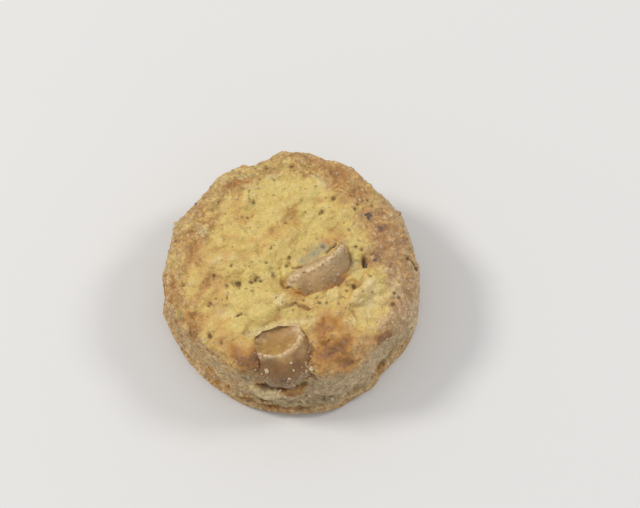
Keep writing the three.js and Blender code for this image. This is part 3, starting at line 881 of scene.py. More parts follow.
def kernel_material():
    """Roasted flesh with clinging skin, a film of dough, flour dust and a chalky edge with a painted
    highlight along it.
    """
    settings = bpy.context.scene.cookie_kernel_settings
    name = "Roasted Kernel"
    if name in bpy.data.materials:
        return bpy.data.materials[name]
    material, tree, shader = new_material(name)
    mottle = grain(tree, 420.0, 4.0, 2.2)["Mottle"]
    streak = grain(tree, 1500.0, 4.0, 1.8)
    cells = granules(tree, 0.45 * MM)
    dusty = attribute(tree, "dust")
    colour = layered(tree, settings.flesh, (
        (attribute(tree, "golden"), settings.golden),
        (attribute(tree, "skin"), settings.skin),
        (attribute(tree, "film"), settings.film),
        (times(tree, dusty, ramp(tree, streak["Mottle"], 0.2, 0.6)), settings.dust),
    ))
    colour = shaded(tree, colour, mottle, 0.82, 1.16)
    colour = shaded(tree, colour, streak["Mottle"], 0.88, 1.12)
    rough_edge = ramp(tree, streak["Mottle"], 0.15, 0.75)
    # Chalky broken edge, with a painted highlight along it
    chalk_and_highlight = times(tree, attribute(tree, "edge"), rough_edge, clamp=True)
    colour = layered(tree, colour, (
        (chalk_and_highlight, settings.broken_edge_and_highlight),
        (times(tree, cells["Speck"], times(tree, dusty, 0.8)), KERNEL_SPECK_TONE),
    ))
    feed(tree, shader, {"Base Color": colour, "Roughness": plus(tree, times(tree, chalk_and_highlight, 0.3), 0.42)})
    soften(tree, shader, 0.2, (1.0, 0.55, 0.2), 0.8 * MM)
    roughen(tree, shader, streak["Height"], 0.7, 0.16 * MM)
    return material


def sugar_material():
    """Dull, slightly clear grains of sugar."""
    name = "Sugar"
    if name in bpy.data.materials:
        return bpy.data.materials[name]
    material, tree, shader = new_material(name)
    mottle = grain(tree, 1200.0, 2.0, 1.5)["Mottle"]
    feed(tree, shader, {"Base Color": mix_colour(tree, mottle, *SUGAR_TONES), "Roughness": 0.3})
    soften(tree, shader, 0.3, (1.0, 0.9, 0.7), 0.5 * MM)
    return material


def flake_material():
    """Dark dry nut skin."""
    settings = bpy.context.scene.cookie_topping_settings
    material, tree, shader = new_material("Nut Skin")
    mottle = grain(tree, 2200.0, 4.0, 2.0)
    dark = tuple(settings.flake_colour)
    colour = mix_colour(tree, mottle["Mottle"], dark, tuple(v * 3.2 for v in dark))
    feed(tree, shader, {"Base Color": colour, "Roughness": 0.6})
    roughen(tree, shader, mottle["Height"], 0.4, 0.08 * MM)
    return material


def floor_material():
    """The pale matt floor."""
    settings = bpy.context.scene.cookie_stage_settings
    material, tree, shader = new_material("Floor")
    mottle = grain(tree, 14.0, 3.0, 0.8)["Mottle"]
    base = tuple(settings.floor)
    colour = mix_colour(tree, mottle, tuple(v * 0.985 for v in base), base)
    feed(tree, shader, {"Base Color": colour, "Roughness": 0.9})
    return material


def named_values(tree, name):
    """The values that each vertex holds under a name."""
    node = add(tree, "GeometryNodeInputNamedAttribute", {"Name": name}, data_type="FLOAT")
    return node.outputs["Attribute"]


def crust_tree():
    """Geometry nodes: lumps and crags that grow out of the crust along its normal."""
    labels = (
        "Nodule Size", "Nodule Height", "Granule Size", "Granule Height",
        "Crag Size", "Crag Height", "Smear Angle", "Smear Stretch",
    )
    inputs = {"Geometry": "Geometry", **dict.fromkeys(labels, "Float")}
    tree, given, sink = new_tree("Craggy Crust", "GeometryNodeTree", inputs, {"Geometry": "Geometry"})

    def parts(amount, label):
        return math_node(tree, "DIVIDE", amount, given[label])

    position = add(tree, "GeometryNodeInputPosition").outputs[0]
    turned = add(tree, "ShaderNodeVectorRotate", {
        "Vector": position,
        "Angle": times(tree, given["Smear Angle"], -1.0),
    }, rotation_type="Z_AXIS").outputs[0]
    shrink = add(tree, "ShaderNodeCombineXYZ", {0: parts(1.0, "Smear Stretch"), 1: 1.0, 2: 1.0})
    place = vector_node(tree, "MULTIPLY", turned, shrink.outputs[0])
    warp = add(tree, "ShaderNodeTexNoise", {"Vector": place, "Scale": parts(0.6, "Nodule Size")})
    bend = vector_node(tree, "SCALE", warp.outputs["Color"], times(tree, given["Nodule Size"], 1.1))
    warped = vector_node(tree, "ADD", place, bend)

    def domes(label, smoothness):
        """Round lumps side by side: how far each place lies from its lump's middle, and its height."""
        away = add(tree, "ShaderNodeTexVoronoi", {
            "Vector": warped,
            "Scale": parts(1.0, label + " Size"),
            "Smoothness": smoothness,
        }, feature="SMOOTH_F1").outputs["Distance"]
        return away, times(tree, minus(tree, 0.5, away), given[label + " Height"])

    from_middle, nodules = domes("Nodule", 0.3)
    _, fine = domes("Granule", 0.25)
    crags = add(tree, "ShaderNodeTexNoise", {
        "Vector": position,
        "Scale": parts(1.0, "Crag Size"),
        "Detail": 2.0,
        "Roughness": 0.5,
    }).outputs[0]
    rough = times(tree, times(tree, minus(tree, crags, 0.5), 2.0), given["Crag Height"])
    gain = named_values(tree, "crust")
    fine = times(tree, fine, plus(tree, times(tree, named_values(tree, "grit"), 0.2), 0.8))
    broad = times(tree, plus(tree, nodules, rough), gain)
    safe = times(tree, gain, 2.0, clamp=True)
    height = plus(tree, broad, times(tree, fine, safe))
    normal = add(tree, "GeometryNodeInputNormal").outputs[0]
    cleft = add(tree, "GeometryNodeStoreNamedAttribute", {
        "Geometry": given["Geometry"],
        "Name": "cleft",
        "Value": from_middle,
    }, data_type="FLOAT", domain="POINT")
    move = add(tree, "GeometryNodeSetPosition", {
        "Geometry": cleft.outputs[0],
        "Offset": vector_node(tree, "SCALE", normal, height),
    })
    realize = add(tree, "GeometryNodeRealizeInstances", {0: move.outputs[0]})
    finish = add(tree, "GeometryNodeSetMaterial", {
        "Geometry": realize.outputs[0],
        "Material": dough_material(),
    })
    feed(tree, sink, {0: finish.outputs[0]})
    return tree


def scatter_tree():
    """Geometry nodes: uneven grains of many sizes, half sunk in the surface they are scattered on."""
    name = "Scattered Grains"
    if name in bpy.data.node_groups:
        return bpy.data.node_groups[name]
    numbers = dict.fromkeys(("Density", "Smallest", "Largest", "Flatness", "Unevenness"), "Float")
    tree, given, sink = new_tree(name, "GeometryNodeTree", {
        "Geometry": "Geometry",
        "Where": "String",
        **numbers,
        "Corners": "Int",
        "Seed": "Int",
        "Smooth": "Bool",
        "Material": "Material",
    }, {"Geometry": "Geometry"})
    points = add(tree, "GeometryNodeDistributePointsOnFaces", {
        "Mesh": given["Geometry"],
        "Density": times(tree, given["Density"], named_values(tree, given["Where"])),
        "Seed": given["Seed"],
    }, distribute_method="RANDOM").outputs

    def chance_vector(low, high):
        inputs = {0: low, 1: high, "Seed": given["Seed"]}
        return add(tree, "FunctionNodeRandomValue", inputs, data_type="FLOAT_VECTOR").outputs[0]

    chance = add(tree, "FunctionNodeRandomValue", {"Seed": given["Seed"]}, data_type="FLOAT").outputs[1]
    size = math_node(tree, "POWER", chance, 3.0)
    span = minus(tree, given["Largest"], given["Smallest"])
    size = plus(tree, times(tree, size, span), given["Smallest"])
    flat = add(tree, "ShaderNodeCombineXYZ", {0: 1.0, 1: 1.0, 2: given["Flatness"]}).outputs[0]
    shape = chance_vector((0.7, 0.7, 0.7), (1.3, 1.3, 1.2))
    ball = add(tree, "GeometryNodeMeshUVSphere", {
        "Segments": given["Corners"],
        "Rings": times(tree, given["Corners"], 0.7),
    })
    place = add(tree, "GeometryNodeInstanceOnPoints", {
        "Points": points["Points"],
        "Instance": ball.outputs["Mesh"],
        "Rotation": points["Rotation"],
        "Scale": vector_node(tree, "SCALE", vector_node(tree, "MULTIPLY", shape, flat), size),
    })
    turned = add(tree, "GeometryNodeRotateInstances", {
        "Instances": place.outputs[0],
        "Rotation": chance_vector((-0.4, -0.4, 0.0), (0.4, 0.4, 2 * math.pi)),
    })
    realize = add(tree, "GeometryNodeRealizeInstances", {0: turned.outputs[0]})
    rough = add(tree, "ShaderNodeTexNoise", {
        "Vector": add(tree, "GeometryNodeInputPosition").outputs[0],
        "Scale": math_node(tree, "DIVIDE", 0.9, given["Largest"]),
    })
    centred = vector_node(tree, "SUBTRACT", rough.outputs["Color"], (0.5, 0.5, 0.5))
    unevenness = times(tree, given["Unevenness"], given["Largest"])
    move = add(tree, "GeometryNodeSetPosition", {
        "Geometry": realize.outputs[0],
        "Offset": vector_node(tree, "SCALE", centred, unevenness),
    })
    smooth = add(tree, "GeometryNodeSetShadeSmooth", {
        "Geometry": move.outputs[0],
        "Shade Smooth": given["Smooth"],
    })
    finish = add(tree, "GeometryNodeSetMaterial", {
        "Geometry": smooth.outputs[0],
        "Material": given["Material"],
    })
    feed(tree, sink, {0: finish.outputs[0]})
    return tree


def grow(piece, tree, values):
    """Runs a geometry nodes tree on a piece with named input values, and keeps the result as its mesh."""
    modifier = piece.modifiers.new(tree.name, "NODES")
    modifier.node_group = tree
    identifiers = {
        item.name: item.identifier
        for item in tree.interface.items_tree
        if item.item_type == "SOCKET" and item.in_out == "INPUT"
    }
    for label, value in values.items():
        modifier[identifiers[label]] = value
    return applied(piece)


def remeshed_dough(settings):
    """A fine even copy of the CAD dough with its facets rounded off."""
    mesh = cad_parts["cookie_dough"].data.copy()
    shape = bmesh.new()
    shape.from_mesh(mesh)
    bmesh.ops.remove_doubles(shape, verts=shape.verts, dist=WELD_DISTANCE)
    shape.to_mesh(mesh)
    shape.free()
    mesh.materials.clear()
    piece = link("baked_dough", mesh)
    remesh = piece.modifiers.new("Fine mesh", "REMESH")
    remesh.mode = "VOXEL"
    remesh.voxel_size = settings.voxel
    smooth = piece.modifiers.new("Round facets", "SMOOTH")
    smooth.factor = 0.5
    smooth.iterations = settings.facet_smoothing
    return applied(piece)


def flatten_underside(points):
    """Keeps the underside on the floor after smoothing."""
    points[:, 2] = np.maximum(points[:, 2], 0.0)
    low = points[:, 2] < 0.25
    points[low, 2] *= smoothstep(points[low, 2], 0.1, 0.25)
    return points


def close_gaps(points):
    """Draws the dough up against the kernels, but for the gap under the front one."""
    for kernel, low, high in GAP_CLOSING:
        away, out = oval_distance(kernel, points)
        hold = smoothstep(points[:, 2], low, high) * smoothstep(away, -0.35, 0.0)
        kept = 0.15 + 0.2 * noise(points, 1.2, 40) + 0.3 * smoothstep(points[:, 0], 1.5, 4.0)
        pull = (away + kept) * smoothstep(away, 3.0, 0.6) * hold
        points = points - out * np.maximum(pull, 0.0)[:, None]
    return points


def draw_out_lip(points):
    """Thins the edge of dough that hangs over the front kernel and hollows it out underneath."""
    x, y, turn = LIP[0] + SHIFT[0], LIP[1] + SHIFT[1], math.radians(LIP[2])
    ahead = (points[:, 0] - x) * math.sin(turn) - (points[:, 1] - y) * math.cos(turn)
    along = (points[:, 0] - x) * math.cos(turn) + (points[:, 1] - y) * math.sin(turn)
    ends = smoothstep(7.6 - np.abs(along - 0.3), 0.0, 2.4)
    part = smoothstep(points[:, 2], 17.2, 18.6) * ends
    edge = part * np.exp(-((ahead / 0.8) ** 2))
    wave = 0.35 * noise(points, 2.4, 45) + 0.15 * noise(points, 1.0, 46)
    back = 0.45 * ends * smoothstep(points[:, 2], 14.5, 16.5) * np.exp(-((np.minimum(ahead, 0.0) / 3.2) ** 2))
    back *= smoothstep(ahead, 2.2, 0.8) * smoothstep(-along, -7.0, -3.0)
    inside = smoothstep(oval_distance(FRONT_KERNEL, points)[0], 0.6, -0.4)
    hollow = 0.16 * np.maximum(17.6 - points[:, 2], 0.0) * inside * ends
    hollow = np.minimum(hollow, 1.6) * smoothstep(ahead, -5.5, -0.8)
    points = points.copy()
    forward = edge * wave - hollow - back
    points[:, 0] += forward * math.sin(turn)
    points[:, 1] -= forward * math.cos(turn)
    near_edge = ends * np.exp(-((np.minimum(ahead, 0.0) / 2.6) ** 2))
    sag = (1.5 + 0.5 * smoothstep(along, 0.0, 4.0)) * near_edge
    points[:, 2] -= sag * smoothstep(points[:, 2], 16.8, 19.2) * smoothstep(ahead, 1.6, 0.8)
    return points, edge


def stored(mesh, name):
    """Reads back what paint stored."""
    values = np.empty(len(mesh.vertices), np.float32)
    mesh.attributes[name].data.foreach_get("value", values)
    return values.astype(float)


def marks(loose, spots, view):
    """How deep, how dark with painted shade, how browned and how raised each vertex is by the tables of
    marks.
    """
    deep = np.zeros(len(loose))
    dark = np.zeros(len(loose))
    browning = np.zeros(len(loose))
    raised = np.zeros(len(loose))
    for x, y, radius, depth in PITS:
        mask = near(loose, view.point(x, y), radius, PIT_STEEPNESS)
        deep = np.maximum(deep, depth * mask)
        # Each pit is painted dark as well: painted shade in the hole
        dark = np.maximum(dark, mask)
    for pixels, half_width, depth, darkness, amount in LINES:
        mask = near_line(loose, [view.point(*pixel) for pixel in pixels], half_width)
        deep = np.maximum(deep, depth * mask)
        # Each slit, crack and gap is painted dark as well: painted shade in it
        dark = np.maximum(dark, darkness * mask)
        browning = np.maximum(browning, amount * mask**0.5)
    for x, y, reach, rise in LUMPS:
        raised = raised + rise * near(spots, view.point(x, y), reach)
    for x, y, reach, amount in BROWNED:
        browning = browning + amount * near(spots, view.point(x, y), reach, PATCH_STEEPNESS)
    return deep, dark, browning, raised


def strongest(spots, view, patches):
    """The strongest of a table's patches at each vertex."""
    best = np.zeros(len(spots))
    for x, y, reach, amount in patches:
        best = np.maximum(best, amount * near(spots, view.point(x, y), reach, PATCH_STEEPNESS))
    return best


def browned_rim(points, view):
    """How much each vertex belongs to the browned rim, and how browned and floury the rim is there."""
    edge = np.array([view.point(x, y) for x, y, _, _ in RIM])
    turns = np.arctan2(edge[:, 1], edge[:, 0])
    turn = np.arctan2(points[:, 1], points[:, 0])
    inner, browned, dusted = (
        np.interp(turn, turns, values, period=2 * math.pi)
        for values in (np.hypot(edge[:, 0], edge[:, 1]), [row[2] for row in RIM], [row[3] for row in RIM])
    )
    radius = np.hypot(points[:, 0], points[:, 1])
    ragged = radius + 1.7 * noise(points, 4.0, 50) + 0.9 * noise(points, 1.6, 51)
    return smoothstep(ragged - inner, -2.6, 2.4) * smoothstep(points[:, 2], 9.5, 16.0), browned, dusted


def toasted(points, rim, foot, pale, browning):
    """How toasted each vertex is by its place on the rim and the foot, by the patches and by chance."""
    angle = math.radians(SMEAR_ANGLE)
    smeared = points @ np.array([
        [math.cos(angle) / 2.4, -math.sin(angle), 0.0],
        [math.sin(angle) / 2.4, math.cos(angle), 0.0],
        [0.0, 0.0, 1.0],
    ])
    amber = smoothstep(noise(points, 4.5, 55) + 0.5 * noise(smeared, 1.5, 5), -0.1, 0.8)
    toast = 0.02 + 0.2 * amber + 0.09 * noise(smeared, 1.0, 52) + 0.05 * noise(points, 0.9, 56)
    toast = toast + rim
    toast = toast + foot * (0.4 + 0.14 * noise(points, 2.5, 7))
    # Pale patches stay untoasted; these are paler crumb, partly a painted highlight
    return toast * (1 - pale) + browning * (1 + 0.25 * noise(points, 0.8, 53))


def toasted_by_nuts(toast, points, apart, open_part):
    """Browns the dough where it meets the front kernel, and below the ridge of the middle one, where the
    brown is browned crumb and painted shadow as well.
    """
    height = points[:, 2]
    toast = toast + 0.2 * smoothstep(apart[0], 1.6, 0.2) * smoothstep(height, 12.0, 14.0) * open_part
    face = np.array(MIDDLE_KERNEL["face_normal"])
    middle = points - np.array(MIDDLE_KERNEL["middle"]) - SHIFT
    level = middle @ face / np.linalg.norm(MIDDLE_KERNEL["face_normal"])
    level = level - 0.35 * smoothstep(-points[:, 0], -2.5, 1.0)
    # Below the ridge: browned crumb and painted shadow
    ridge_browning_and_shadow = smoothstep(apart[1], 0.5, 0.1) * smoothstep(height, 15.0, 16.5)
    return toast + 0.35 * ridge_browning_and_shadow * smoothstep(level, 0.4, -0.4)


def shaped_dough(piece):
    """Carves pits, slits and lips in the crust, and notes where it is rough, browned, floury or deep, and
    where shade and highlight are painted.
    """
    mesh = piece.data
    points, lip = draw_out_lip(close_gaps(flatten_underside(coordinates(mesh))))
    apart = [oval_distance(kernel, points)[0] for kernel in (FRONT_KERNEL, MIDDLE_KERNEL)]
    points = bend_ridge(points)
    set_coordinates(mesh, points)
    kernels = [surface_of(bpy.data.objects[name]) for name in ("front_kernel", "middle_kernel")]
    view = PhotoView(surface_of(piece), *kernels)
    loose = bent(points, 0.9, 0.32, 30)
    spots = bent(points, 2.2, 0.9, 34)
    deep, dark, browning, raised = marks(loose, spots, view)
    # Pale patches: paler crumb, and a painted highlight on lit lumps
    pale = strongest(spots, view, PALE_AND_LIT_PATCHES)
    normal = normals(mesh)
    upward = smoothstep(normal[:, 2], 0.2, 0.75)
    height = points[:, 2]
    seat = smoothstep(np.minimum(*apart), 0.0, 1.2)
    rim, browned, dusted = browned_rim(points, view)
    foot = smoothstep(3.8 - height, -1.0, 1.2)

    toast = toasted(points, rim * (browned + 0.12 * noise(points, 2.6, 6)), foot, pale, browning)
    toast = toasted_by_nuts(toast, points, apart, 1 - upward * (lip > 0.1))
    # The underside is evenly browned
    toast = np.where(height < 0.4, 0.6 + 0.12 * noise(points, 3.5, 9), toast)
    # Flour lies on the side wall, less of it on the foot; the left of the wall is painted darker as shade,
    # with more toast and less flour
    flour = (1 - smoothstep(height + 1.2 * noise(points, 2.5, 54), 13.0, 17.0)) * (1 - 0.35 * foot)
    left_shade = smoothstep(points[:, 0], 2.0, -12.0) * (1 - foot)
    toast = toast + 0.3 * flour * left_shade
    flour = flour * (1 - 0.45 * left_shade)
    flour = flour * (1 - smoothstep(browning, 0.15, 0.45) * smoothstep(height, 13.0, 15.0))
    # The rim is dusted but for its browned patches, and gritty as the side is
    dusted = dusted * rim * (0.85 + 0.4 * noise(points, 1.8, 57)) * (1 - smoothstep(browning, 0.25, 0.5))
    grit = 0.22 + 0.78 * np.maximum(rim, 1 - smoothstep(height, 15.0, 18.0))
    flecks = [near(loose, np.array(fleck) + SHIFT, 0.75, 4.0) for fleck in SKIN_FLECKS]
    # More crumbs lie where the dough meets the kernels
    by_nut = smoothstep(apart[0], 1.3, 0.4) * smoothstep(height, 12.0, 13.0) * (1 - lip)
    by_nut = np.maximum(by_nut, smoothstep(apart[1], 1.6, 0.6) * smoothstep(height, 16.0, 17.0))
    for name, values in (
        ("dusted", dusted * smoothstep(height, 12.0, 16.0)),
        ("crust", (0.4 + 0.6 * upward) * smoothstep(height, 0.3, 2.5) * (0.2 + 0.8 * seat)),
        ("grit", grit * (1 - 0.6 * smoothstep(browning, 0.15, 0.4))),
        ("fleck", np.max(flecks, axis=0)),
        ("toast", toast),
        ("flour", flour),
        # Painted shade in pits, slits, cracks and gaps
        ("hollow_shade", dark),
        # Greyish: painted shade on shaded slopes
        ("greyish_shade", strongest(spots, view, GREYISH_SHADE_PATCHES)),
        ("seat", seat),
        ("by_nut", by_nut),
        # Pale: paler crumb, and a painted highlight on lit lumps, on lump tops and along the lip's edge
        ("pale", np.maximum(pale, 0.7 * lip)),
    ):
        paint(mesh, name, values)
    set_coordinates(mesh, points + normal * (raised - deep)[:, None])


def finish_dough(piece, settings):
    """Works out how deep each place lies after the crust has grown, paints shade between its lumps and a
    highlight on their tops, and works out where grains may lie.
    """
    mesh = piece.data
    points = coordinates(mesh)
    points[:, 2] = np.maximum(points[:, 2], 0.0)
    set_coordinates(mesh, points)
    normal = normals(mesh)
    grit = stored(mesh, "grit")
    soft = 1 - grit
    # Between the lumps: painted shade (depth) and a warmer, darker tone (toast); on the soft tops of the
    # lumps: a painted highlight (pale)
    cleft = smoothstep(stored(mesh, "cleft"), 0.5, 0.9)
    crown_highlight = smoothstep(stored(mesh, "cleft"), 0.4, 0.1) * soft
    paint(mesh, "depth", 0.14 * cleft + stored(mesh, "hollow_shade"))
    paint(mesh, "toast", stored(mesh, "toast") + 0.14 * cleft)
    paint(mesh, "pale", stored(mesh, "pale") + 0.3 * crown_highlight)
    seat = smoothstep(stored(mesh, "seat"), 0.0, 0.15)
    patch = smoothstep(noise(points, 3.4, 60) + 0.4 * noise(points, 1.2, 61), -0.5, 0.6)
    shore = smoothstep(points[:, 2], 1.0, 2.0) * seat * smoothstep(normal[:, 2], -0.5, -0.1)
    by_nut = stored(mesh, "by_nut")
    paint(mesh, "crumby", shore * np.maximum((0.04 + 0.96 * grit**2) * (0.25 + 0.75 * patch), 0.8 * by_nut))
    paint(mesh, "sugary", shore * (0.1 + 0.9 * grit) * (0.3 + 0.7 * patch))
    thin = piece.modifiers.new("Thin the flats", "DECIMATE")
    mesh.calc_loop_triangles()
    thin.ratio = min(1.0, settings.triangles / len(mesh.loop_triangles))
    applied(piece)
    shade_smooth(piece.data)


class COOKIE_OT_bake_dough(bpy.types.Operator):
    """Make the craggy baked dough over the CAD solid"""

    bl_idname = "cookie.bake_dough"
    bl_label = "Bake Dough"

    def execute(self, context):
        settings = context.scene.cookie_dough_settings
        piece = remeshed_dough(settings)
        shaped_dough(piece)
        grow(piece, crust_tree(), {
            "Nodule Size": settings.nodule_size,
            "Nodule Height": settings.nodule_height,
            "Granule Size": settings.granule_size,
            "Granule Height": settings.granule_height,
            "Crag Size": settings.crag_size,
            "Crag Height": settings.crag_height,
            "Smear Angle": math.radians(SMEAR_ANGLE),
            "Smear Stretch": settings.smear_stretch,
        })
        finish_dough(piece, settings)
        hand_over(piece, "dough", "cookie_dough")
        return {"FINISHED"}


def bend_ridge(points):
    """Moves what lies by the middle kernel's ridge, dough and kernel alike, to where the ridge shows."""
    face = np.array(MIDDLE_KERNEL["face_normal"][:2])
    face /= np.linalg.norm(face)
    points = points.copy()
    for x, y, reach, push in RIDGE_BENDS:
        away = np.hypot(points[:, 0] - x - SHIFT[0], points[:, 1] - y - SHIFT[1]) / reach
        amount = push * np.exp(-(away**2)) * smoothstep(points[:, 2], 14.5, 17.5)
        points[:, :2] -= face * amount[:, None]
    return points


def front_kernel_form(points, line):
    """Rounds the front kernel down outside its pale broken edge, raises the face under the lip, and
    returns that edge's strength as well, which paints the edge pale with a painted highlight."""
    face = np.array(FRONT_KERNEL["face_normal"]) / np.linalg.norm(FRONT_KERNEL["face_normal"])
    sideways = np.array([1.0, 0.0, 0.0]) - face * face[0]
    sideways /= np.linalg.norm(sideways)
    onward = np.cross(face, sideways)
    middle = np.array(FRONT_KERNEL["middle"]) + SHIFT
    line = line - middle
    angles = np.arctan2(line @ onward, line @ sideways)
    order = np.argsort(angles)
    reach = np.hypot(line @ onward, line @ sideways)[order]
    rel = points - middle
    angle = np.arctan2(rel @ onward, rel @ sideways)
    here = np.hypot(rel @ onward, rel @ sideways)
    over = here - np.interp(angle, angles[order], reach, period=2 * math.pi)
    level = rel @ face - FRONT_KERNEL["face_height"]
    down = 0.75 * smoothstep(over, 0.1, 1.5) * smoothstep(level, -3.4, -0.6)
    down *= 1 - 0.7 * smoothstep(np.abs(rel @ sideways), 2.2, 4.5)
    turn = math.radians(LIP[2])
    from_lip = (points[:, 0] - LIP[0] - SHIFT[0]) * math.sin(turn)
    from_lip -= (points[:, 1] - LIP[1] - SHIFT[1]) * math.cos(turn)
    raised = 0.9 * smoothstep(from_lip, 1.4, -0.6) * smoothstep(level, -2.4, -1.4)
    down -= raised * smoothstep(over, 0.2, -0.8)
    nearest = np.abs((angle[:, None] - angles + math.pi) % (2 * math.pi) - math.pi).min(axis=1)
    width = 0.42 + 0.6 * smoothstep(rel @ sideways, -0.5, 2.5)
    width = np.where(over > 0.0, 0.55, width)
    on_line = np.exp(-((over / width) ** 2)) * smoothstep(level, -2.4, -1.2) * smoothstep(nearest, 0.6, 0.25)
    lift = on_line * (0.22 + 0.16 * noise(points, 0.9, 70))
    return points + face * (lift - down)[:, None], on_line


def front_kernel_looks(points, face, below, line):
    """The front kernel's form, how rough its outside is, and where its looks change."""
    outside = 1 - face
    points, edge = front_kernel_form(points, line)
    skin = outside * smoothstep(below, -6.6, -5.0) * (0.85 + 0.25 * noise(points, 1.3, 25))
    skin = skin * (1 - 0.3 * smoothstep(below, 0.0, 3.0))
    skin = skin * (1 - 0.45 * smoothstep(points[:, 0], 1.0, 3.0) * smoothstep(below, -2.6, -4.4))
    border = smoothstep(np.abs(points[:, 0] - FRONT_KERNEL["middle"][0]), 3.2, 5.6)
    lumps = 0.32 * noise(points, 0.9, 37) + 0.2 * noise(points, 2.0, 39)
    return points, outside * smoothstep(below, -3.5, -0.5) * lumps, {
        "edge": edge,
        "golden": np.maximum(0.95 * face, outside),
        "skin": skin,
        "dust": outside * smoothstep(below + 1.4 * noise(points, 1.3, 38), -2.2, 1.6),
        "film": 0.45 * face * smoothstep(noise(points, 0.7, 31), 0.2, 0.6),
        "crumby": outside * smoothstep(below + 2.6 * border, -3.4, -1.6) * (0.25 + 0.75 * border),
    }


def middle_kernel_looks(points, face, below, directions, piece):
    """The middle kernel's form, how rough its left end is, and where its looks change."""
    points = bend_ridge(points)
    set_coordinates(piece.data, points)
    view = PhotoView(surface_of(piece))
    ridge = np.array([view.point(*pixel) for pixel in RIDGE])
    # The ridge: chalky pale edge and a painted highlight
    edge = near_line(points, ridge, 0.5) * smoothstep(noise(points, 0.7, 24), -0.9, -0.1)
    points = points + directions * (edge * (0.35 + 0.3 * noise(points, 0.6, 23)))[:, None]
    middle = MIDDLE_KERNEL["middle"][0]
    left = smoothstep(points[:, 0] + 0.8 * noise(points, 1.5, 32), 3.6, -0.6)
    end = smoothstep(points[:, 0], middle - 1.0, middle + 6.0)
    film = np.maximum(left * smoothstep(noise(points, 1.4, 33), -0.7, 0.4), 0.5 * edge)
    tip = smoothstep(points[:, 0] + 0.9 * noise(points, 1.2, 36), 9.6, 10.6)
    return points, left * (0.3 * noise(points, 1.7, 34) + 0.16 * noise(points, 0.8, 35)), {
        "edge": edge,
        "golden": 0.35 * left,
        "skin": (1 - face) * 0.35 * smoothstep(below, -3.4, -1.5) * (0.9 + 0.4 * noise(points, 1.6, 25)),
        "dust": 0.2 + 0.5 * end,
        "film": np.maximum(film, 0.4 * tip),
        "crumby": np.maximum(0.5 * left, np.maximum(0.6 * end**2, 0.5 * smoothstep(below, -4.5, -3.4))),
    }


class COOKIE_OT_set_kernels(bpy.types.Operator):
    """Make the two hazelnut kernels in their places"""

    bl_idname = "cookie.set_kernels"
    bl_label = "Set Kernels"

    def execute(self, context):
        view = PhotoView(*(surface_of_node(kernel["node"]) for kernel in (FRONT_KERNEL, MIDDLE_KERNEL)))
        crescent = np.array([view.point(*pixel) for pixel in CRESCENT])
        for kernel, name in ((FRONT_KERNEL, "front_kernel"), (MIDDLE_KERNEL, "middle_kernel")):
            mesh = sphere_mesh(name, KERNEL_SUBDIVISIONS)
            piece = link(name, mesh)
            directions = coordinates(mesh) * MM
            directions /= np.linalg.norm(directions, axis=1)[:, None]
            points, face = kernel_surface(kernel, directions)
            points = points + SHIFT
            below = kernel["middle"][2] - points[:, 2] + 0.8 * noise(points, 2.0, 27)
            rough = 0.09 * noise(points, 1.8, 20) + 0.05 * noise(points, 0.8, 21)
            rough = rough + 0.04 * noise(points, 0.45, 28)
            rough = rough + face * 0.08 * noise(points, 0.9, 26)
            if kernel is FRONT_KERNEL:
                points, extra, looks = front_kernel_looks(points, face, below, crescent)
            else:
                points, extra, looks = middle_kernel_looks(points, face, below, directions, piece)
            points = points + directions * (rough + extra)[:, None]
            set_coordinates(mesh, points)
            # Edge: the pale broken edge and the painted highlight along it
            looks["edge"] = looks["edge"] * (1.25 + 0.4 * noise(points, 1.4, 24))
            for label, values in looks.items():
                paint(mesh, label, values)
            for label, value in KERNEL_CRUMB_MASKS.items():
                paint(mesh, label, np.full(len(points), value))
            shade_smooth(mesh)
            mesh.materials.append(kernel_material())
            hand_over(piece, "kernel", kernel["node"])
        return {"FINISHED"}


def scatter(name, values, carrier="baked_dough"):
    """Scatters grains over a piece and keeps them as one mesh."""
    mesh = bpy.data.objects[carrier].data.copy()
    piece = link(name, mesh)
    grow(piece, scatter_tree(), values)
    hand_over(piece, "dough")


class COOKIE_OT_scatter_crumbs(bpy.types.Operator):
    """Scatter crumbs of crust over the rim and side"""

    bl_idname = "cookie.scatter_crumbs"
    bl_label = "Scatter Crumbs"

    def execute(self, context):
        settings = context.scene.cookie_topping_settings
        for name, carrier, density, seed in (
            ("crumbs", "baked_dough", settings.crumb_density, 3),
            ("front_kernel_crumbs", "front_kernel", settings.kernel_crumb_density, 5),
            ("middle_kernel_crumbs", "middle_kernel", settings.kernel_crumb_density, 6),
        ):
            scatter(name, {
                "Where": "crumby",
                "Density": density,
                "Smallest": settings.crumb_smallest,
                "Largest": settings.crumb_largest,
                "Flatness": 0.6,
                "Unevenness": 0.9,
                "Corners": 7,
                "Seed": seed,
                "Smooth": True,
                "Material": dough_material(),
            }, carrier)
        return {"FINISHED"}


class COOKIE_OT_scatter_sugar(bpy.types.Operator):
    """Scatter sugar grains over the crust"""

    bl_idname = "cookie.scatter_sugar"
    bl_label = "Scatter Sugar"

    def execute(self, context):
        settings = context.scene.cookie_topping_settings
        scatter("sugar_grains", {
            "Where": "sugary",
            "Density": settings.sugar_density,
            "Smallest": settings.sugar_smallest,
            "Largest": settings.sugar_largest,
            "Flatness": 0.9,
            "Unevenness": 0.6,
            "Corners": 5,
            "Seed": 8,
            "Smooth": False,
            "Material": sugar_material(),
        })
        return {"FINISHED"}


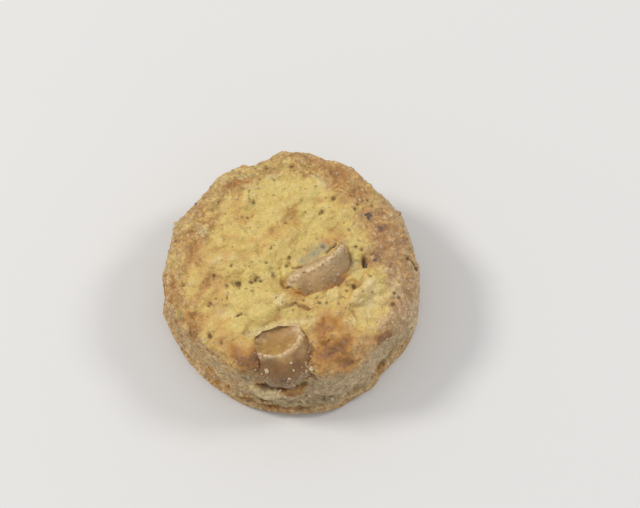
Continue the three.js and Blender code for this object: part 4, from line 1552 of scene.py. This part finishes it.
class COOKIE_OT_place_grains(bpy.types.Operator):
    """Place the larger sugar grains that show singly"""

    bl_idname = "cookie.place_grains"
    bl_label = "Place Grains"

    def execute(self, context):
        names = ("baked_dough", "front_kernel", "middle_kernel")
        view = PhotoView(*(surface_of(bpy.data.objects[name]) for name in names))
        rng = np.random.default_rng(GRAIN_SEED)
        shape = bmesh.new()
        for x, y, radius in NAMED_GRAINS:
            place, normal = view.hit(x, y)
            corners = bmesh.ops.create_icosphere(shape, subdivisions=1, radius=radius * MM)["verts"]
            for corner in corners:
                corner.co *= 1 + 0.3 * rng.uniform(-1, 1)
                corner.co += place + normal * (0.35 * radius * MM)
        mesh = bpy.data.meshes.new("single_grains")
        shape.normal_update()
        shape.to_mesh(mesh)
        shape.free()
        mesh.materials.append(sugar_material())
        hand_over(link("single_grains", mesh), "dough")
        return {"FINISHED"}


def flake_form(shape, place, normal, long, wide, turn, seed):
    """Adds one thin curled flake of skin, lying on the crust, to a bmesh. Sizes are in metres."""
    rng = np.random.default_rng(seed)
    across = normal.orthogonal().normalized()
    along = Vector((math.cos(turn), math.sin(turn), 0.0))
    along = (along - normal * along.dot(normal)).normalized() if abs(along.dot(normal)) < 0.98 else across
    across = normal.cross(along)
    rings = []
    for side in (1, -1):
        ring = []
        for i in range(FLAKE_CORNERS):
            angle = 2 * math.pi * i / FLAKE_CORNERS
            reach = 1 + 0.25 * rng.uniform(-1, 1)
            u, v = math.cos(angle) * reach * long / 2, math.sin(angle) * reach * wide / 2
            curl = 0.12 * wide * (2 * v / wide) ** 2
            lift = FLAKE_LIFT + curl + side * FLAKE_HALF_THICKNESS
            ring.append(shape.verts.new(place + along * u + across * v + normal * lift))
        rings.append(ring)
    lifts = [FLAKE_LIFT + side * FLAKE_HALF_THICKNESS for side in (1, -1)]
    middle = [shape.verts.new(place + normal * lift) for lift in lifts]
    for i in range(FLAKE_CORNERS):
        j = (i + 1) % FLAKE_CORNERS
        shape.faces.new((rings[0][i], rings[0][j], middle[0]))
        shape.faces.new((rings[1][j], rings[1][i], middle[1]))
        shape.faces.new((rings[0][j], rings[0][i], rings[1][i], rings[1][j]))


class COOKIE_OT_lay_flakes(bpy.types.Operator):
    """Lay flakes of dark nut skin on the crust"""

    bl_idname = "cookie.lay_flakes"
    bl_label = "Lay Flakes"

    def execute(self, context):
        view = PhotoView(surface_of(bpy.data.objects["baked_dough"]))
        shape = bmesh.new()
        for seed, (x, y, long, wide, turn) in enumerate(FLAKES):
            place, normal = view.hit(x, y)
            flake_form(shape, place, normal, long * MM, wide * MM, math.radians(turn), seed)
        mesh = bpy.data.meshes.new("skin_flakes")
        shape.normal_update()
        shape.to_mesh(mesh)
        shape.free()
        mesh.materials.append(flake_material())
        hand_over(link("skin_flakes", mesh), "kernel")
        return {"FINISHED"}


def soft_light(name, power, place, size, colour):
    """Sets up a round light that faces the cookie."""
    data = bpy.data.lights.new(name, "AREA")
    data.shape = "DISK"
    data.size = size
    data.energy = power
    data.color = colour
    light = bpy.data.objects.new(name, data)
    bpy.context.scene.collection.objects.link(light)
    light.location = place
    light.rotation_euler = (-Vector(place)).to_track_quat("-Z", "Y").to_euler()


class COOKIE_OT_light_stage(bpy.types.Operator):
    """Lay the floor and set the lights and the camera"""

    bl_idname = "cookie.light_stage"
    bl_label = "Light Stage"

    def execute(self, context):
        scene = context.scene
        settings = scene.cookie_stage_settings
        shape = bmesh.new()
        bmesh.ops.create_grid(shape, x_segments=8, y_segments=8, size=FLOOR_HALF_WIDTH)
        mesh = bpy.data.meshes.new("floor")
        shape.to_mesh(mesh)
        shape.free()
        mesh.materials.append(floor_material())
        link("floor", mesh)
        soft_light("left_light", settings.left_power, *LEFT_LIGHT)
        soft_light("right_light", settings.right_power, *RIGHT_LIGHT)
        world = bpy.data.worlds.new("Soft light")
        world.use_nodes = True
        background = world.node_tree.nodes["Background"]
        background.inputs["Color"].default_value = SKY_COLOUR
        background.inputs["Strength"].default_value = settings.fill
        scene.world = world
        scene.view_settings.view_transform = "Standard"
        return {"FINISHED"}


def make_camera():
    """Sets up the photograph's camera."""
    data = bpy.data.cameras.new("camera")
    data.sensor_width = CAMERA_SENSOR
    data.lens = CAMERA_SENSOR * FOCAL_PIXELS / PHOTO_SIZE[0]
    data.clip_start = CAMERA_NEAR
    camera = bpy.data.objects.new("camera", data)
    bpy.context.scene.collection.objects.link(camera)
    view = PhotoView()
    camera.location = view.eye
    camera.rotation_euler = (-view.back).to_track_quat("-Z", "Y").to_euler()
    bpy.context.scene.camera = camera


class COOKIE_PT_panel(bpy.types.Panel):
    """Lists the steps that make the cookie"""

    bl_idname = "COOKIE_PT_panel"
    bl_label = "Hazelnut Cookie"
    bl_space_type = "VIEW_3D"
    bl_region_type = "UI"
    bl_category = "Cookie"

    def draw(self, context):
        scene = context.scene
        toppings = (
            COOKIE_OT_scatter_crumbs, COOKIE_OT_scatter_sugar, COOKIE_OT_place_grains, COOKIE_OT_lay_flakes)
        for title, settings, operators in (
            ("Kernels", scene.cookie_kernel_settings, (COOKIE_OT_set_kernels,)),
            ("Dough", scene.cookie_dough_settings, (COOKIE_OT_bake_dough,)),
            ("Toppings", scene.cookie_topping_settings, toppings),
            ("Stage", scene.cookie_stage_settings, (COOKIE_OT_light_stage,)),
        ):
            box = self.layout.box()
            box.label(text=title)
            for key in settings.__annotations__:
                box.prop(settings, key)
            for operator in operators:
                box.operator(operator.bl_idname)


SETTINGS = {
    "cookie_dough_settings": DoughSettings,
    "cookie_kernel_settings": KernelSettings,
    "cookie_topping_settings": ToppingSettings,
    "cookie_stage_settings": StageSettings,
}
OPERATORS = (
    COOKIE_OT_light_stage,
    COOKIE_OT_set_kernels,
    COOKIE_OT_bake_dough,
    COOKIE_OT_scatter_crumbs,
    COOKIE_OT_scatter_sugar,
    COOKIE_OT_place_grains,
    COOKIE_OT_lay_flakes,
)


def register():
    """Adds the classes, and their settings to the scene."""
    for kind in (*SETTINGS.values(), *OPERATORS, COOKIE_PT_panel):
        bpy.utils.register_class(kind)
    for key, kind in SETTINGS.items():
        setattr(bpy.types.Scene, key, PointerProperty(type=kind))


def unregister():
    """Takes the settings and the classes away again."""
    for key in SETTINGS:
        delattr(bpy.types.Scene, key)
    for kind in reversed((*SETTINGS.values(), *OPERATORS, COOKIE_PT_panel)):
        bpy.utils.unregister_class(kind)


def main():
    """Makes the stage and then the cookie, piece by piece."""
    register()
    make_camera()
    bpy.ops.cookie.light_stage()
    bpy.ops.cookie.set_kernels()
    bpy.ops.cookie.bake_dough()
    bpy.ops.cookie.scatter_crumbs()
    bpy.ops.cookie.scatter_sugar()
    bpy.ops.cookie.place_grains()
    bpy.ops.cookie.lay_flakes()


if __name__ == "__main__":
    main()
